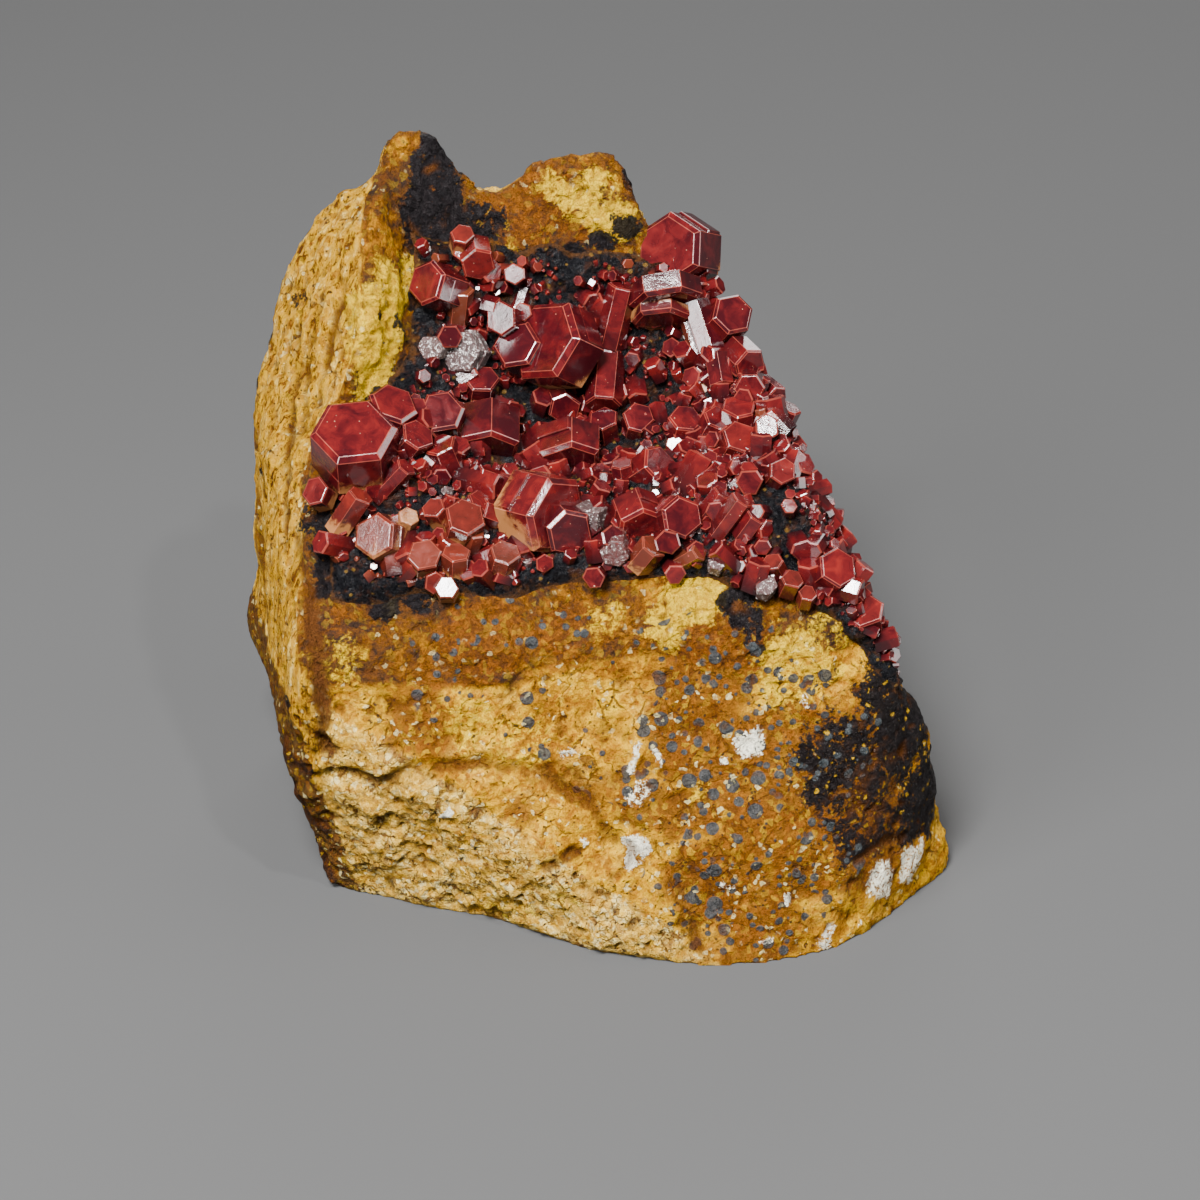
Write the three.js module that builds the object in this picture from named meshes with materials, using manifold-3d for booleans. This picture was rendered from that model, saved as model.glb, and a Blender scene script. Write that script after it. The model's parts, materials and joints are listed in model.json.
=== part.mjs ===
// Vanadinite on matrix: an ochre limonite block with an open hollow lined by deep red hexagonal crystals.
// Millimetres, +Z up, and the block stands on its flat underside at z = 0. The front faces -Y.
import * as THREE from 'three';
import { mergeVertices } from 'three/addons/utils/BufferGeometryUtils.js';
import Module from 'manifold-3d';

const wasm = await Module();
wasm.setup();

// Driving dimensions
const ballCentre = new THREE.Vector3(-2, 0, 24); // of the ball that is pressed onto the block as its skin
const ballRadius = 42;
const ballDetail = 9; // of its icosahedron
const evenRounds = 70; // of pressing and evening, then of pressing alone
const restRounds = 4;
const longestPress = 3;
const ridgePull = 12; // how strongly points gather at ridges and tips
const swell = 0.35; // added all over, for what the flat faces cut off
const rootDepth = 4; // how far the block is shaped below its flat underside, where it is cut
const lipHeight = 28.8; // height of the hollow's front lip
const lipBack = -13; // how far back the lip is
const crustThickness = 0.9; // of the fine-grained druse under the crystals
const clearance = 0.45; // left between a piece and what it grows on
const neighbourGap = 0.3; // left between two crystals that are separate pieces
const shortestGrain = 0.9; // across a small crystal of the druse
const widestGrain = 2.3;
const grainCount = 34;
const pyramidShare = 0.12; // of a crystal's width, taken off round its end
const plainBelow = 3.6; // across; smaller crystals are plain prisms
const standOff = 1.1; // how far the middle of a very small crystal stands off the rock
const standOffShare = 0.24; // and what that grows by for each millimetre of width
const druseTop = 30.5; // how far up the slope the druse reaches

// The photograph's camera, used to seat each crystal where it is seen
const photoCentre = 600;
const mmPerPixel = 0.08;
const cameraDistance = 320;
const nearestRock = 35; // how much nearer and farther than the lip the rock is looked for
const farthestRock = 50;
const rayStep = 0.2;
const cameraElevation = THREE.MathUtils.degToRad(30);
const imageRight = new THREE.Vector3(1, 0, 0);
const imageUp = new THREE.Vector3(0, Math.sin(cameraElevation), Math.cos(cameraElevation));
const intoPhoto = new THREE.Vector3(0, Math.cos(cameraElevation), -Math.sin(cameraElevation));
const aim = new THREE.Vector3(0, lipBack, lipHeight);
const eye = aim.clone().addScaledVector(intoPhoto, -cameraDistance);

// Broken faces of the block: outward normal, a point on the face, and how softly it meets the others
const blockFaces = [
  { name: 'front', normal: [0.03, -0.956, 0.292], at: [0, -13.8, 28.8], soft: 1.2 },
  { name: 'broken foot', normal: [-0.36, -0.87, -0.31], at: [-6.4, -20.6, 10.2], soft: 0.8 },
  { name: 'right foot', normal: [0.82, -0.56, 0.05], at: [26.6, -12, 2], soft: 2.5 },
  { name: 'right toe', normal: [0.5, -0.86, 0.06], at: [17, -21.9, 2], soft: 2.5 },
  { name: 'left', normal: [-0.97, -0.22, 0.03], at: [-27.7, 2, 24], soft: 2 },
  { name: 'left under', normal: [-0.9, -0.22, -0.26], at: [-26.5, 0, 9], soft: 0.8 },
  { name: 'left shoulder', normal: [-0.74, -0.42, 0.5], at: [-21.8, 1.5, 43.6], soft: 2 },
  { name: 'left crown', normal: [-0.62, -0.05, 0.78], at: [-21.5, 9.5, 52], soft: 2 },
  { name: 'right', normal: [0.85, 0.4, 0.26], at: [26.2, -15, 22.1], soft: 2 },
  { name: 'right rim', normal: [0.78, -0.03, 0.58], at: [13.4, -4.5, 36.6], soft: 2 },
  { name: 'back', normal: [0.05, 0.985, 0.16], at: [0, 21, 20], soft: 1.2 },
  { name: 'back left', normal: [-0.6, 0.78, 0.05], at: [-21, 16, 25], soft: 1.5 },
  { name: 'back high', normal: [-0.1, 0.8, 0.6], at: [0, 19, 48], soft: 1.2 },
  { name: 'back low', normal: [0.2, 0.93, -0.28], at: [0, 21.5, 8], soft: 1.2 },
  { name: 'back right', normal: [0.7, 0.7, 0.1], at: [13.5, 13, 20], soft: 1.5 },
  { name: 'top', normal: [0.06, 0.02, 0.99], at: [-3, 15, 55.7], soft: 1 },
];
const slopeNormal = [0, -Math.SQRT1_2, Math.SQRT1_2];
const slopeAt = [0, lipBack, lipHeight];

// Shape helpers
const clamp01 = (t) => Math.min(1, Math.max(0, t));
function smoothStep(from, to, x) {
  const t = clamp01((x - from) / (to - from));
  return t * t * (3 - 2 * t);
}
function softMax(a, b, soft) {
  const h = clamp01(0.5 + (0.5 * (a - b)) / soft);
  return b * (1 - h) + a * h + soft * h * (1 - h);
}
const softMin = (a, b, soft) => -softMax(-a, -b, soft);
function aboveFace([x, y, z], [nx, ny, nz], [ax, ay, az]) {
  return ((x - ax) * nx + (y - ay) * ny + (z - az) * nz) / Math.hypot(nx, ny, nz);
}
function outsideLump([x, y, z], [ax, ay, az], [rx, ry, rz]) {
  return (Math.hypot((x - ax) / rx, (y - ay) / ry, (z - az) / rz) - 1) * Math.min(rx, ry, rz);
}
function lattice(i, j, k, seed) {
  const s = Math.sin(i * 127.1 + j * 311.7 + k * 74.7 + seed * 53.3) * 43758.5453;
  return s - Math.floor(s);
}
// Smooth noise from -1 to 1 whose lumps are about grain millimetres apart
function roughness(p, grain, seed) {
  const cell = p.map((v) => Math.floor(v / grain));
  const part = p.map((v, n) => v / grain - cell[n]).map((t) => t * t * (3 - 2 * t));
  let sum = 0;
  for (const a of [0, 1])
    for (const b of [0, 1])
      for (const c of [0, 1]) {
        const shares = [a, b, c].map((side, n) => (side ? part[n] : 1 - part[n]));
        const share = shares[0] * shares[1] * shares[2];
        sum += share * lattice(cell[0] + a, cell[1] + b, cell[2] + c, seed);
      }
  return 2 * sum - 1;
}

// How far up the hollow's slope a point is from the front lip, and how high above that slope
const alongSlope = ([, y, z]) => (y - lipBack) * Math.SQRT1_2 + (z - lipHeight) * Math.SQRT1_2;
const aboveSlope = (p) => aboveFace(p, slopeNormal, slopeAt);
// The crest of the left wall, as x at a distance up the slope
const leftCrest = (along) => -23.4 + 6.6 * smoothStep(9, 24, along);

function insideHollow(p) {
  const floorDrop = 0.7;
  const bowl = outsideLump(p, [0, -2, 47], [18.5, 14, 13.6]);
  const floor = softMax(aboveSlope(p) + floorDrop, -bowl, 5);
  const wall = 0.86 * (p[0] - leftCrest(alongSlope(p))) + 0.45 * aboveSlope(p);
  const backWall = aboveFace(p, [0.12, -0.93, 0.36], [-4, 12.2, 50]);
  return softMin(softMin(floor, wall, 1.2), backWall, 1.5);
}

// Negative inside the rock, positive outside
function rock(p) {
  const [first, ...others] = blockFaces;
  let outside = aboveFace(p, first.normal, first.at);
  for (const { normal, at, soft } of others) outside = softMax(outside, aboveFace(p, normal, at), soft);
  outside = softMin(outside, outsideLump(p, [-15.2, 13, 52.6], [3, 3.4, 4.8]), 1.4); // the peak
  outside = softMax(outside, -outsideLump(p, [-8.6, 14.5, 55.6], [3.2, 6, 3.2]), 1); // the notch beside it
  outside = softMax(outside, insideHollow(p), 0.8);
  outside += 0.8 * roughness(p, 11, 3) + 0.5 * roughness(p, 5, 5) - swell;
  return softMax(outside, -p[2] - rootDepth, 0.4);
}

// Positive where the druse covers the rock: the hollow's floor, and over the right-hand rim
function druseBed(p) {
  const along = alongSlope(p);
  const middleOfLip = smoothStep(-10, 2, p[0]) * (1 - smoothStep(8, 13, p[0]));
  const lip = 0.5 + 1.8 * middleOfLip - 7.5 * smoothStep(16, 26, p[0]);
  const overRim = Math.min(aboveSlope(p) + 4.6, p[0] - 8);
  const wallFoot = 0.86 * (p[0] - leftCrest(along)) - 1.6;
  return Math.min(Math.max(insideHollow(p) + 1.6, overRim), along - lip, druseTop - along, wallFoot);
}

// The way out of the rock at a point, felt over a distance
function outwardAt(point, reach = 0.4) {
  const riseAlong = (axis) => {
    const ahead = point.clone().setComponent(axis, point.getComponent(axis) + reach);
    const behind = point.clone().setComponent(axis, point.getComponent(axis) - reach);
    return rock(ahead.toArray()) - rock(behind.toArray());
  };
  return new THREE.Vector3(riseAlong(0), riseAlong(1), riseAlong(2)).normalize();
}

// The block's skin: an even ball pressed onto the rock, its points kept apart as it closes in
function pressedSkin() {
  const sphere = new THREE.IcosahedronGeometry(ballRadius, ballDetail);
  sphere.deleteAttribute('normal');
  sphere.deleteAttribute('uv');
  const ball = mergeVertices(sphere, 1e-4);
  const corners = ball.index.array;
  let points = [];
  for (let n = 0; n < ball.attributes.position.count; n += 1)
    points.push(new THREE.Vector3().fromBufferAttribute(ball.attributes.position, n).add(ballCentre));
  const neighbours = points.map(() => new Set());
  for (let n = 0; n < corners.length; n += 3)
    for (const [a, b] of [[0, 1], [1, 2], [2, 0]]) {
      neighbours[corners[n + a]].add(corners[n + b]);
      neighbours[corners[n + b]].add(corners[n + a]);
    }
  const pressed = (point) => {
    const gap = THREE.MathUtils.clamp(rock(point.toArray()), -longestPress, longestPress);
    return point.clone().addScaledVector(outwardAt(point), -gap);
  };
  for (let round = 0; round < evenRounds; round += 1) {
    const outwards = points.map((point) => outwardAt(point));
    const pulls = points.map((point, n) => {
      const mean = new THREE.Vector3();
      for (const other of neighbours[n]) mean.addScaledVector(outwards[other], 1 / neighbours[n].size);
      return 1 + ridgePull * (1 - mean.length());
    });
    points = points.map((point, n) => {
      const middle = new THREE.Vector3();
      let total = 0;
      for (const other of neighbours[n]) {
        middle.addScaledVector(points[other], pulls[other]);
        total += pulls[other];
      }
      return pressed(point.clone().lerp(middle.divideScalar(total), 0.5));
    });
  }
  for (let round = 0; round < restRounds; round += 1) points = points.map(pressed);
  return { ball, points, outwards: points.map((point) => outwardAt(point, 1.2)) };
}
function skinAt({ ball, points, outwards }, offsetOf) {
  const geometry = ball.clone();
  points.forEach((point, n) => {
    const spot = point.clone().addScaledVector(outwards[n], offsetOf(point));
    geometry.attributes.position.setXYZ(n, spot.x, spot.y, spot.z);
  });
  return geometry;
}

// Solids for joining and cutting
function solidOf(geometry) {
  const bare = geometry.clone();
  bare.deleteAttribute('normal');
  bare.deleteAttribute('uv');
  const merged = mergeVertices(bare, 1e-4);
  return new wasm.Manifold(
    new wasm.Mesh({
      numProp: 3,
      vertProperties: new Float32Array(merged.attributes.position.array),
      triVerts: new Uint32Array(merged.index.array),
    }),
  );
}
function geometryOf(solid) {
  const mesh = solid.getMesh();
  const geometry = new THREE.BufferGeometry();
  geometry.setAttribute('position', new THREE.BufferAttribute(new Float32Array(mesh.vertProperties), 3));
  geometry.setIndex(new THREE.BufferAttribute(new Uint32Array(mesh.triVerts), 1));
  return geometry;
}
const joined = (solids) => solids.reduce((all, next) => all.add(next));
function largestBody(solid) {
  return solid.decompose().sort((a, b) => b.volume() - a.volume())[0];
}

// Where a pixel of the photograph lands on the rock, or passes closest to it beyond the outline
function seat([pixelX, pixelY]) {
  const ray = intoPhoto
    .clone()
    .addScaledVector(imageRight, ((pixelX - photoCentre) * mmPerPixel) / cameraDistance)
    .addScaledVector(imageUp, (-(pixelY - photoCentre) * mmPerPixel) / cameraDistance)
    .normalize();
  let closest = { gap: Infinity, point: null };
  for (let t = cameraDistance - nearestRock; t < cameraDistance + farthestRock; t += rayStep) {
    const point = eye.clone().addScaledVector(ray, t);
    const gap = rock(point.toArray());
    if (gap < closest.gap) closest = { gap, point };
    if (gap <= 0) break;
  }
  return closest;
}

// A hexagonal crystal along +Y, across its corners, with a narrow pyramid round its upper end if it is large
function crystalGeometry(across, tall, extra = 0) {
  const radius = across / 2 + extra;
  const half = tall / 2 + extra;
  if (extra || across < plainBelow) return new THREE.CylinderGeometry(radius, radius, 2 * half, 6);
  const cut = pyramidShare * across;
  const profile = [
    new THREE.Vector2(0, -half),
    new THREE.Vector2(radius, -half),
    new THREE.Vector2(radius, half - 0.8 * cut),
    new THREE.Vector2(radius - cut, half),
    new THREE.Vector2(0, half),
  ];
  return new THREE.LatheGeometry(profile, 6);
}
// The axis is given as seen: right, up and towards the viewer
function turnTo([right, up, towards], turn) {
  const axis = new THREE.Vector3()
    .addScaledVector(imageRight, right)
    .addScaledVector(imageUp, up)
    .addScaledVector(intoPhoto, -towards)
    .normalize();
  const side = new THREE.Vector3().crossVectors(intoPhoto, axis).normalize();
  const across = new THREE.Vector3().crossVectors(side, axis);
  const basis = new THREE.Matrix4().makeBasis(side, axis, across);
  return basis.multiply(new THREE.Matrix4().makeRotationY(THREE.MathUtils.degToRad(turn)));
}
function crystalPlace({ seen, across, axis, turn }) {
  const { gap, point } = seat(seen);
  const away = point.clone().sub(eye).normalize();
  const lift = Math.max(0, standOff + standOffShare * across - 2 * Math.max(0, gap));
  return turnTo(axis, turn).setPosition(point.clone().addScaledVector(away, -lift));
}
function crystalSolid(crystal, extra = 0) {
  const geometry = crystalGeometry(crystal.across, crystal.tall, extra);
  return solidOf(geometry.applyMatrix4(crystalPlace(crystal)));
}

// The crystals that stand out of the druse, as rows of: pixel of its middle in the photograph, millimetres
// across its corners and along it, its long axis as seen (right, up, towards the viewer), and its turn
// about that axis in degrees. Those of one group have grown into each other. An earlier group keeps its
// room, and the later ones stop short of it.
const crystalGroups = {
  front_crystal: [
    [[540, 512], 7, 3.9, [0.74, -0.2, 0.64], 38],
    [[565, 528], 4.2, 2.9, [0.35, -0.35, 0.87], 0],
  ],
  big_upper_crystal: [
    [[555, 346], 7.5, 3.6, [-0.62, 0.25, 0.74], -13],
    [[523, 350], 4.4, 3.2, [-0.4, 0.3, 0.86], 10],
  ],
  big_left_crystal: [
    [[355, 446], 7, 4.2, [0, 0.6, 0.8], 8],
    [[390, 414], 4.2, 3, [0.3, 0.6, 0.74], 10],
  ],
  centre_crystal: [[[569, 451], 5.9, 2.8, [0, -0.84, 0.54], 30]],
  left_block_crystal: [[[487, 433], 5.5, 3.5, [0, -0.87, 0.48], 22]],
  top_right_crystal: [[[678, 252], 6.5, 4, [-0.5, 0.02, 0.86], 0]],
  stacked_plates: [
    [[666, 293], 6.2, 1.8, [0.13, -0.95, 0.26], 4],
    [[660, 316], 5, 1.1, [0.05, -0.94, 0.3], 10],
  ],
  long_prism: [
    [[705, 334], 2.5, 5.6, [0.3, -0.93, 0.15], 20],
    [[719, 371], 2.2, 2.8, [0.15, -0.93, 0.3], 30],
    [[699, 361], 1.3, 6.8, [0.27, -0.95, 0.1], 0],
  ],
  lilac_prisms: [
    [[605, 381], 3.2, 4.6, [-0.08, -0.9, 0.42], 0],
    [[616, 316], 2.6, 5.3, [0.22, 0.92, 0.3], 0],
  ],
  paired_hexagons: [
    [[637, 517], 4.1, 2.7, [0.25, -0.68, 0.68], 10],
    [[676, 518], 3.7, 3.2, [0.3, 0.05, 0.95], 0],
  ],
  rim_crystals: [
    [[728, 320], 3.7, 3, [0.3, 0.3, 0.9], 0],
    [[743, 357], 3, 2.7, [0.45, -0.5, 0.74], 10],
    [[750, 385], 2.7, 2.4, [-0.1, -0.3, 0.95], 20],
    [[768, 391], 2.1, 2.5, [0.55, -0.5, 0.67], 0],
  ],
  edge_crystals: [
    [[832, 572], 3.5, 2.7, [0.35, 0.3, 0.88], 20],
    [[850, 592], 3.5, 1, [-0.25, 0.94, 0.22], 0],
    [[864, 619], 3.5, 3.2, [-0.1, 0.5, 0.86], 10],
    [[839, 546], 2.1, 1.2, [0.1, 0.9, 0.4], 0],
    [[826, 531], 2.2, 2.4, [0.2, 0.5, 0.84], 0],
  ],
};

// Smaller crystals seen in the photograph, which are joined to the druse they stand in
const druseCrystals = [
  [[562, 402], 3, 2.7, [0.2, -0.5, 0.84], 0],
  [[624, 480], 2.1, 3.2, [-0.12, 0.85, 0.5], 20],
  [[653, 471], 3.5, 2.7, [0.55, 0.35, 0.75], 15],
  [[411, 444], 3, 2.7, [0.45, 0.5, 0.74], 10],
  [[441, 419], 3.8, 3.5, [0, 0.35, 0.93], 10],
  [[392, 482], 1.9, 4, [0.62, 0.62, 0.48], 10],
  [[349, 513], 2.2, 4, [0.52, 0.72, 0.45], 30],
  [[381, 536], 3.7, 2.4, [-0.42, 0.1, 0.9], 10],
  [[494, 486], 2.7, 3.4, [-0.9, 0.28, 0.33], 15],
  [[496, 516], 2.3, 2.9, [-0.85, 0.3, 0.45], 10],
  [[438, 288], 3.9, 3.5, [-0.55, 0.15, 0.82], 0],
  [[459, 306], 2.2, 3.3, [0.12, 0.8, 0.58], 10],
  [[464, 351], 3.8, 2.7, [-0.3, -0.05, 0.95], 20],
  [[711, 506], 1.6, 3.2, [0.55, 0.72, 0.42], 20],
  [[729, 517], 1.9, 3.8, [0.55, 0.75, 0.36], 10],
  [[616, 547], 2.5, 2.4, [-0.1, -0.5, 0.86], 0],
  [[645, 556], 2.4, 2.6, [0.5, 0.6, 0.62], 0],
  [[446, 459], 2.8, 3.2, [-0.3, 0.75, 0.6], 10],
  [[320, 494], 2.4, 2.1, [-0.35, 0.25, 0.9], 15],
  [[462, 525], 3.4, 2.7, [0.2, 0.5, 0.84], 0],
  [[474, 510], 2.4, 2.4, [0.5, 0.6, 0.6], 20],
  [[438, 515], 2.1, 2.4, [-0.3, 0.5, 0.8], 20],
  [[424, 560], 2.9, 2.3, [0.05, 0.35, 0.93], 20],
  [[456, 565], 2.4, 2.8, [0.05, 0.7, 0.7], 20],
  [[447, 590], 2, 2, [0, 0.2, 0.97], 0],
  [[502, 562], 2.6, 2.7, [0.2, 0.6, 0.78], 0],
  [[477, 257], 3.1, 2.4, [0.15, -0.6, 0.78], 30],
  [[461, 242], 2.1, 2.4, [0.1, 0.5, 0.86], 0],
  [[506, 319], 3, 2.6, [-0.35, 0.05, 0.93], 10],
  [[481, 388], 3, 2.4, [0.1, 0.6, 0.8], 10],
  [[605, 429], 2.7, 2.9, [-0.1, 0.6, 0.8], 20],
  [[637, 423], 2.9, 2.4, [0.1, 0.4, 0.9], 0],
  [[683, 427], 3, 2.4, [0.15, 0.65, 0.75], 10],
  [[715, 427], 2.7, 2.3, [0.35, 0.6, 0.72], 10],
  [[738, 443], 3, 2.4, [0.2, 0.4, 0.9], 10],
  [[739, 414], 3, 1.8, [0, 0.75, 0.66], 20],
  [[783, 422], 2.2, 3, [0.4, 0.8, 0.45], 10],
  [[790, 450], 2.2, 2, [0.4, 0.3, 0.87], 0],
  [[780, 475], 2.4, 2.1, [0.2, 0.3, 0.93], 0],
  [[802, 482], 2.2, 2, [0.5, 0.3, 0.8], 15],
];

// The druse's grains, at random points of its bed and leaning at random
function grainSolids({ points }) {
  const fromEdge = 0.8;
  const bed = points.filter((point) => druseBed(point.toArray()) > fromEdge);
  const solids = [];
  for (let n = 0; n < grainCount; n += 1) {
    const surface = bed[Math.floor(lattice(n, 1, 0, 7) * bed.length)];
    const across = shortestGrain + (widestGrain - shortestGrain) * lattice(n, 2, 0, 7) ** 2;
    const lean = new THREE.Vector3(...[3, 4, 5].map((part) => lattice(n, part, 0, 7) - 0.5));
    const outward = outwardAt(surface);
    const axis = outward.clone().addScaledVector(lean, 1.3).normalize();
    const turn = new THREE.Quaternion().setFromUnitVectors(new THREE.Vector3(0, 1, 0), axis);
    const centre = surface.clone().addScaledVector(outward, clearance + crustThickness);
    const prism = new THREE.CylinderGeometry(across / 2, across / 2, across * 1.5, 6);
    solids.push(solidOf(prism.applyQuaternion(turn).translate(centre.x, centre.y, centre.z)));
  }
  return solids;
}

// The block, flat on its underside
const room = 100; // each way, more than the block takes
const aboveTable = new THREE.BoxGeometry(room, room, room).translate(0, 0, room / 2);
const skin = pressedSkin();
const matrixSolid = solidOf(skinAt(skin, () => 0)).intersect(solidOf(aboveTable));

// What grows on the block stops a little above it
const keepOut = solidOf(skinAt(skin, () => clearance));
const buried = -1.2; // how deep the druse's shell runs inside the rock where there is none
const druseShell = solidOf(
  skinAt(skin, (point) => {
    const covered = smoothStep(-0.6, 0.6, druseBed(point.toArray()));
    return THREE.MathUtils.lerp(buried, clearance + crustThickness, covered);
  }),
);

const group = new THREE.Group();
group.name = 'vanadinite_on_matrix';
function addNode(name, solid, material) {
  const mesh = new THREE.Mesh(geometryOf(solid), material);
  mesh.name = name;
  group.add(mesh);
}
function crystalsOf(rows) {
  return rows.map(([seen, across, tall, axis, turn]) => ({ seen, across, tall, axis, turn }));
}
const ochre = new THREE.MeshStandardMaterial({ color: '#b5843a', roughness: 0.88, metalness: 0 });
const deepRed = new THREE.MeshStandardMaterial({ color: '#7a1f1d', roughness: 0.25, metalness: 0 });
const brownRed = new THREE.MeshStandardMaterial({ color: '#6b2a1c', roughness: 0.4, metalness: 0 });

addNode('matrix', matrixSolid, ochre);
let taken = keepOut;
for (const [name, rows] of Object.entries(crystalGroups)) {
  const crystals = crystalsOf(rows);
  const free = joined(crystals.map((crystal) => crystalSolid(crystal))).subtract(taken);
  addNode(name, largestBody(free), deepRed);
  taken = taken.add(joined(crystals.map((crystal) => crystalSolid(crystal, neighbourGap))));
}
const smallOnes = crystalsOf(druseCrystals).map((crystal) => crystalSolid(crystal));
const druse = joined([druseShell, ...smallOnes, ...grainSolids(skin)]).subtract(taken);
addNode('druse', largestBody(druse), brownRed);

export default group;
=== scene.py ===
"""Vanadinite on matrix: an ochre limonite block with an open hollow lined by deep red hexagonal crystals.

Lengths in the shape functions are millimetres; a mesh is written in metres, in the frame of the CAD model.
"""

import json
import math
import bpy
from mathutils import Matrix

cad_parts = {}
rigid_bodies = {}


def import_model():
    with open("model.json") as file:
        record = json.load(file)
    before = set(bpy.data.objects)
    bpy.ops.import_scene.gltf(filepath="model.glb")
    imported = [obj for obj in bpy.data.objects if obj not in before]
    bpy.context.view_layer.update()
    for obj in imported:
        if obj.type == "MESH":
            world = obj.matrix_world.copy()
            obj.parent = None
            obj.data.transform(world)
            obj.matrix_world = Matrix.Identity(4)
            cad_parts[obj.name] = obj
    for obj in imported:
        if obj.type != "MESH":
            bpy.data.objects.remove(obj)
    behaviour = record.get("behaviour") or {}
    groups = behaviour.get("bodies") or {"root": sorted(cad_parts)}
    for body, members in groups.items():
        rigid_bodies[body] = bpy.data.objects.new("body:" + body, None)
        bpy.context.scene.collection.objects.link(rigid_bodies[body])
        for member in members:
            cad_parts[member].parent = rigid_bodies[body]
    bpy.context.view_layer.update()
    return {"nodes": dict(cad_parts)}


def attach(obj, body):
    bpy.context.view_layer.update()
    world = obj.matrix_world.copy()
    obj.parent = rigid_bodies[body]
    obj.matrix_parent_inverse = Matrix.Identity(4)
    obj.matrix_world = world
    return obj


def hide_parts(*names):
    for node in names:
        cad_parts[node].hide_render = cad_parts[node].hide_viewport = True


bl_info = {
    "name": "Vanadinite on matrix",
    "version": (1, 0, 0),
    "blender": (4, 5, 0),
    "location": "3D View > Sidebar > Mineral",
    "description": "A vanadinite specimen: limonite block, crystal druse and studio",
    "category": "Object",
}

import bmesh
import bpy
import numpy as np
from mathutils import Matrix, Vector

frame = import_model()

MM = 0.001

# The photograph's camera
PHOTO_CENTRE = 600
MM_PER_PIXEL = 0.08
CAMERA_DISTANCE = 320.0
CAMERA_ELEVATION = math.radians(30)
SENSOR_WIDTH = 36.0
FRAME_WIDTH = 2 * PHOTO_CENTRE * MM_PER_PIXEL
LIP_HEIGHT = 28.8
LIP_BACK = -13.0
IMAGE_RIGHT = np.array([1.0, 0.0, 0.0])
IMAGE_UP = np.array([0.0, math.sin(CAMERA_ELEVATION), math.cos(CAMERA_ELEVATION)])
INTO_PHOTO = np.array([0.0, math.cos(CAMERA_ELEVATION), -math.sin(CAMERA_ELEVATION)])
AIM = np.array([0.0, LIP_BACK, LIP_HEIGHT])
EYE = AIM - CAMERA_DISTANCE * INTO_PHOTO

# Broken faces of the block: outward normal, a point on the face, and how softly it meets the others
BLOCK_FACES = {
    "front": ((0.03, -0.956, 0.292), (0, -13.8, 28.8), 1.2),
    "broken foot": ((-0.36, -0.87, -0.31), (-6.4, -20.6, 10.2), 0.8),
    "right foot": ((0.82, -0.56, 0.05), (26.6, -12, 2), 2.5),
    "right toe": ((0.5, -0.86, 0.06), (17, -21.9, 2), 2.5),
    "left": ((-0.97, -0.22, 0.03), (-27.7, 2, 24), 2),
    "left under": ((-0.9, -0.22, -0.26), (-26.5, 0, 9), 0.8),
    "left shoulder": ((-0.74, -0.42, 0.5), (-21.8, 1.5, 43.6), 2),
    "left crown": ((-0.62, -0.05, 0.78), (-21.5, 9.5, 52), 2),
    "right": ((0.85, 0.4, 0.26), (26.2, -15, 22.1), 2),
    "right rim": ((0.78, -0.03, 0.58), (13.4, -4.5, 36.6), 2),
    "back": ((0.05, 0.985, 0.16), (0, 21, 20), 1.2),
    "back left": ((-0.6, 0.78, 0.05), (-21, 16, 25), 1.5),
    "back high": ((-0.1, 0.8, 0.6), (0, 19, 48), 1.2),
    "back low": ((0.2, 0.93, -0.28), (0, 21.5, 8), 1.2),
    "back right": ((0.7, 0.7, 0.1), (13.5, 13, 20), 1.5),
    "top": ((0.06, 0.02, 0.99), (-3, 15, 55.7), 1),
}

# How far noise swells the rock, and how far up its slope the druse reaches
SWELL = 0.35
DRUSE_TOP = 30.5

# Every crystal: how far its middle stands off the rock, and how steep the pyramid round its end is
STAND_OFF = 1.1
STAND_OFF_SHARE = 0.24
PYRAMID_SLOPE = 0.8

# Farther than any two points of the specimen
FAR = 1e6


# Shape helpers, on arrays of points in millimetres


def smooth_step(low, high, x):
    t = np.clip((x - low) / (high - low), 0, 1)
    return t * t * (3 - 2 * t)


def soft_max(a, b, soft):
    h = np.clip(0.5 + 0.5 * (a - b) / soft, 0, 1)
    return b * (1 - h) + a * h + soft * h * (1 - h)


def soft_min(a, b, soft):
    return -soft_max(-a, -b, soft)


def above_face(p, normal, at):
    normal = np.array(normal, float)
    return (p - np.array(at, float)) @ (normal / np.linalg.norm(normal))


def outside_lump(p, at, size):
    q = (p - np.array(at, float)) / np.array(size, float)
    return (np.sqrt((q * q).sum(-1)) - 1) * min(size)


def lattice(i, j, k, seed):
    """A repeatable chance from 0 to 1 for each cell of a grid."""
    s = np.sin(i * 127.1 + j * 311.7 + k * 74.7 + seed * 53.3) * 43758.5453
    return s - np.floor(s)


def roughness(p, grain, seed):
    """Smooth noise from -1 to 1 whose lumps are about grain millimetres apart."""
    q = p / grain
    cell = np.floor(q)
    part = q - cell
    part = part * part * (3 - 2 * part)
    total = 0
    for corner in np.ndindex(2, 2, 2):
        share = 1
        for axis in range(3):
            share = share * (part[..., axis] if corner[axis] else 1 - part[..., axis])
        total = total + share * lattice(*(cell[..., axis] + corner[axis] for axis in range(3)), seed)
    return 2 * total - 1


def layered(p, grain, seed, rounds=4, keep=0.5):
    """Roughness at several scales, each half as coarse as the last."""
    total = 0
    weight = 1.0
    for step in range(rounds):
        total = total + weight * roughness(p + 17.3 * step, grain / 2**step, seed + step)
        weight *= keep
    return total


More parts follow.
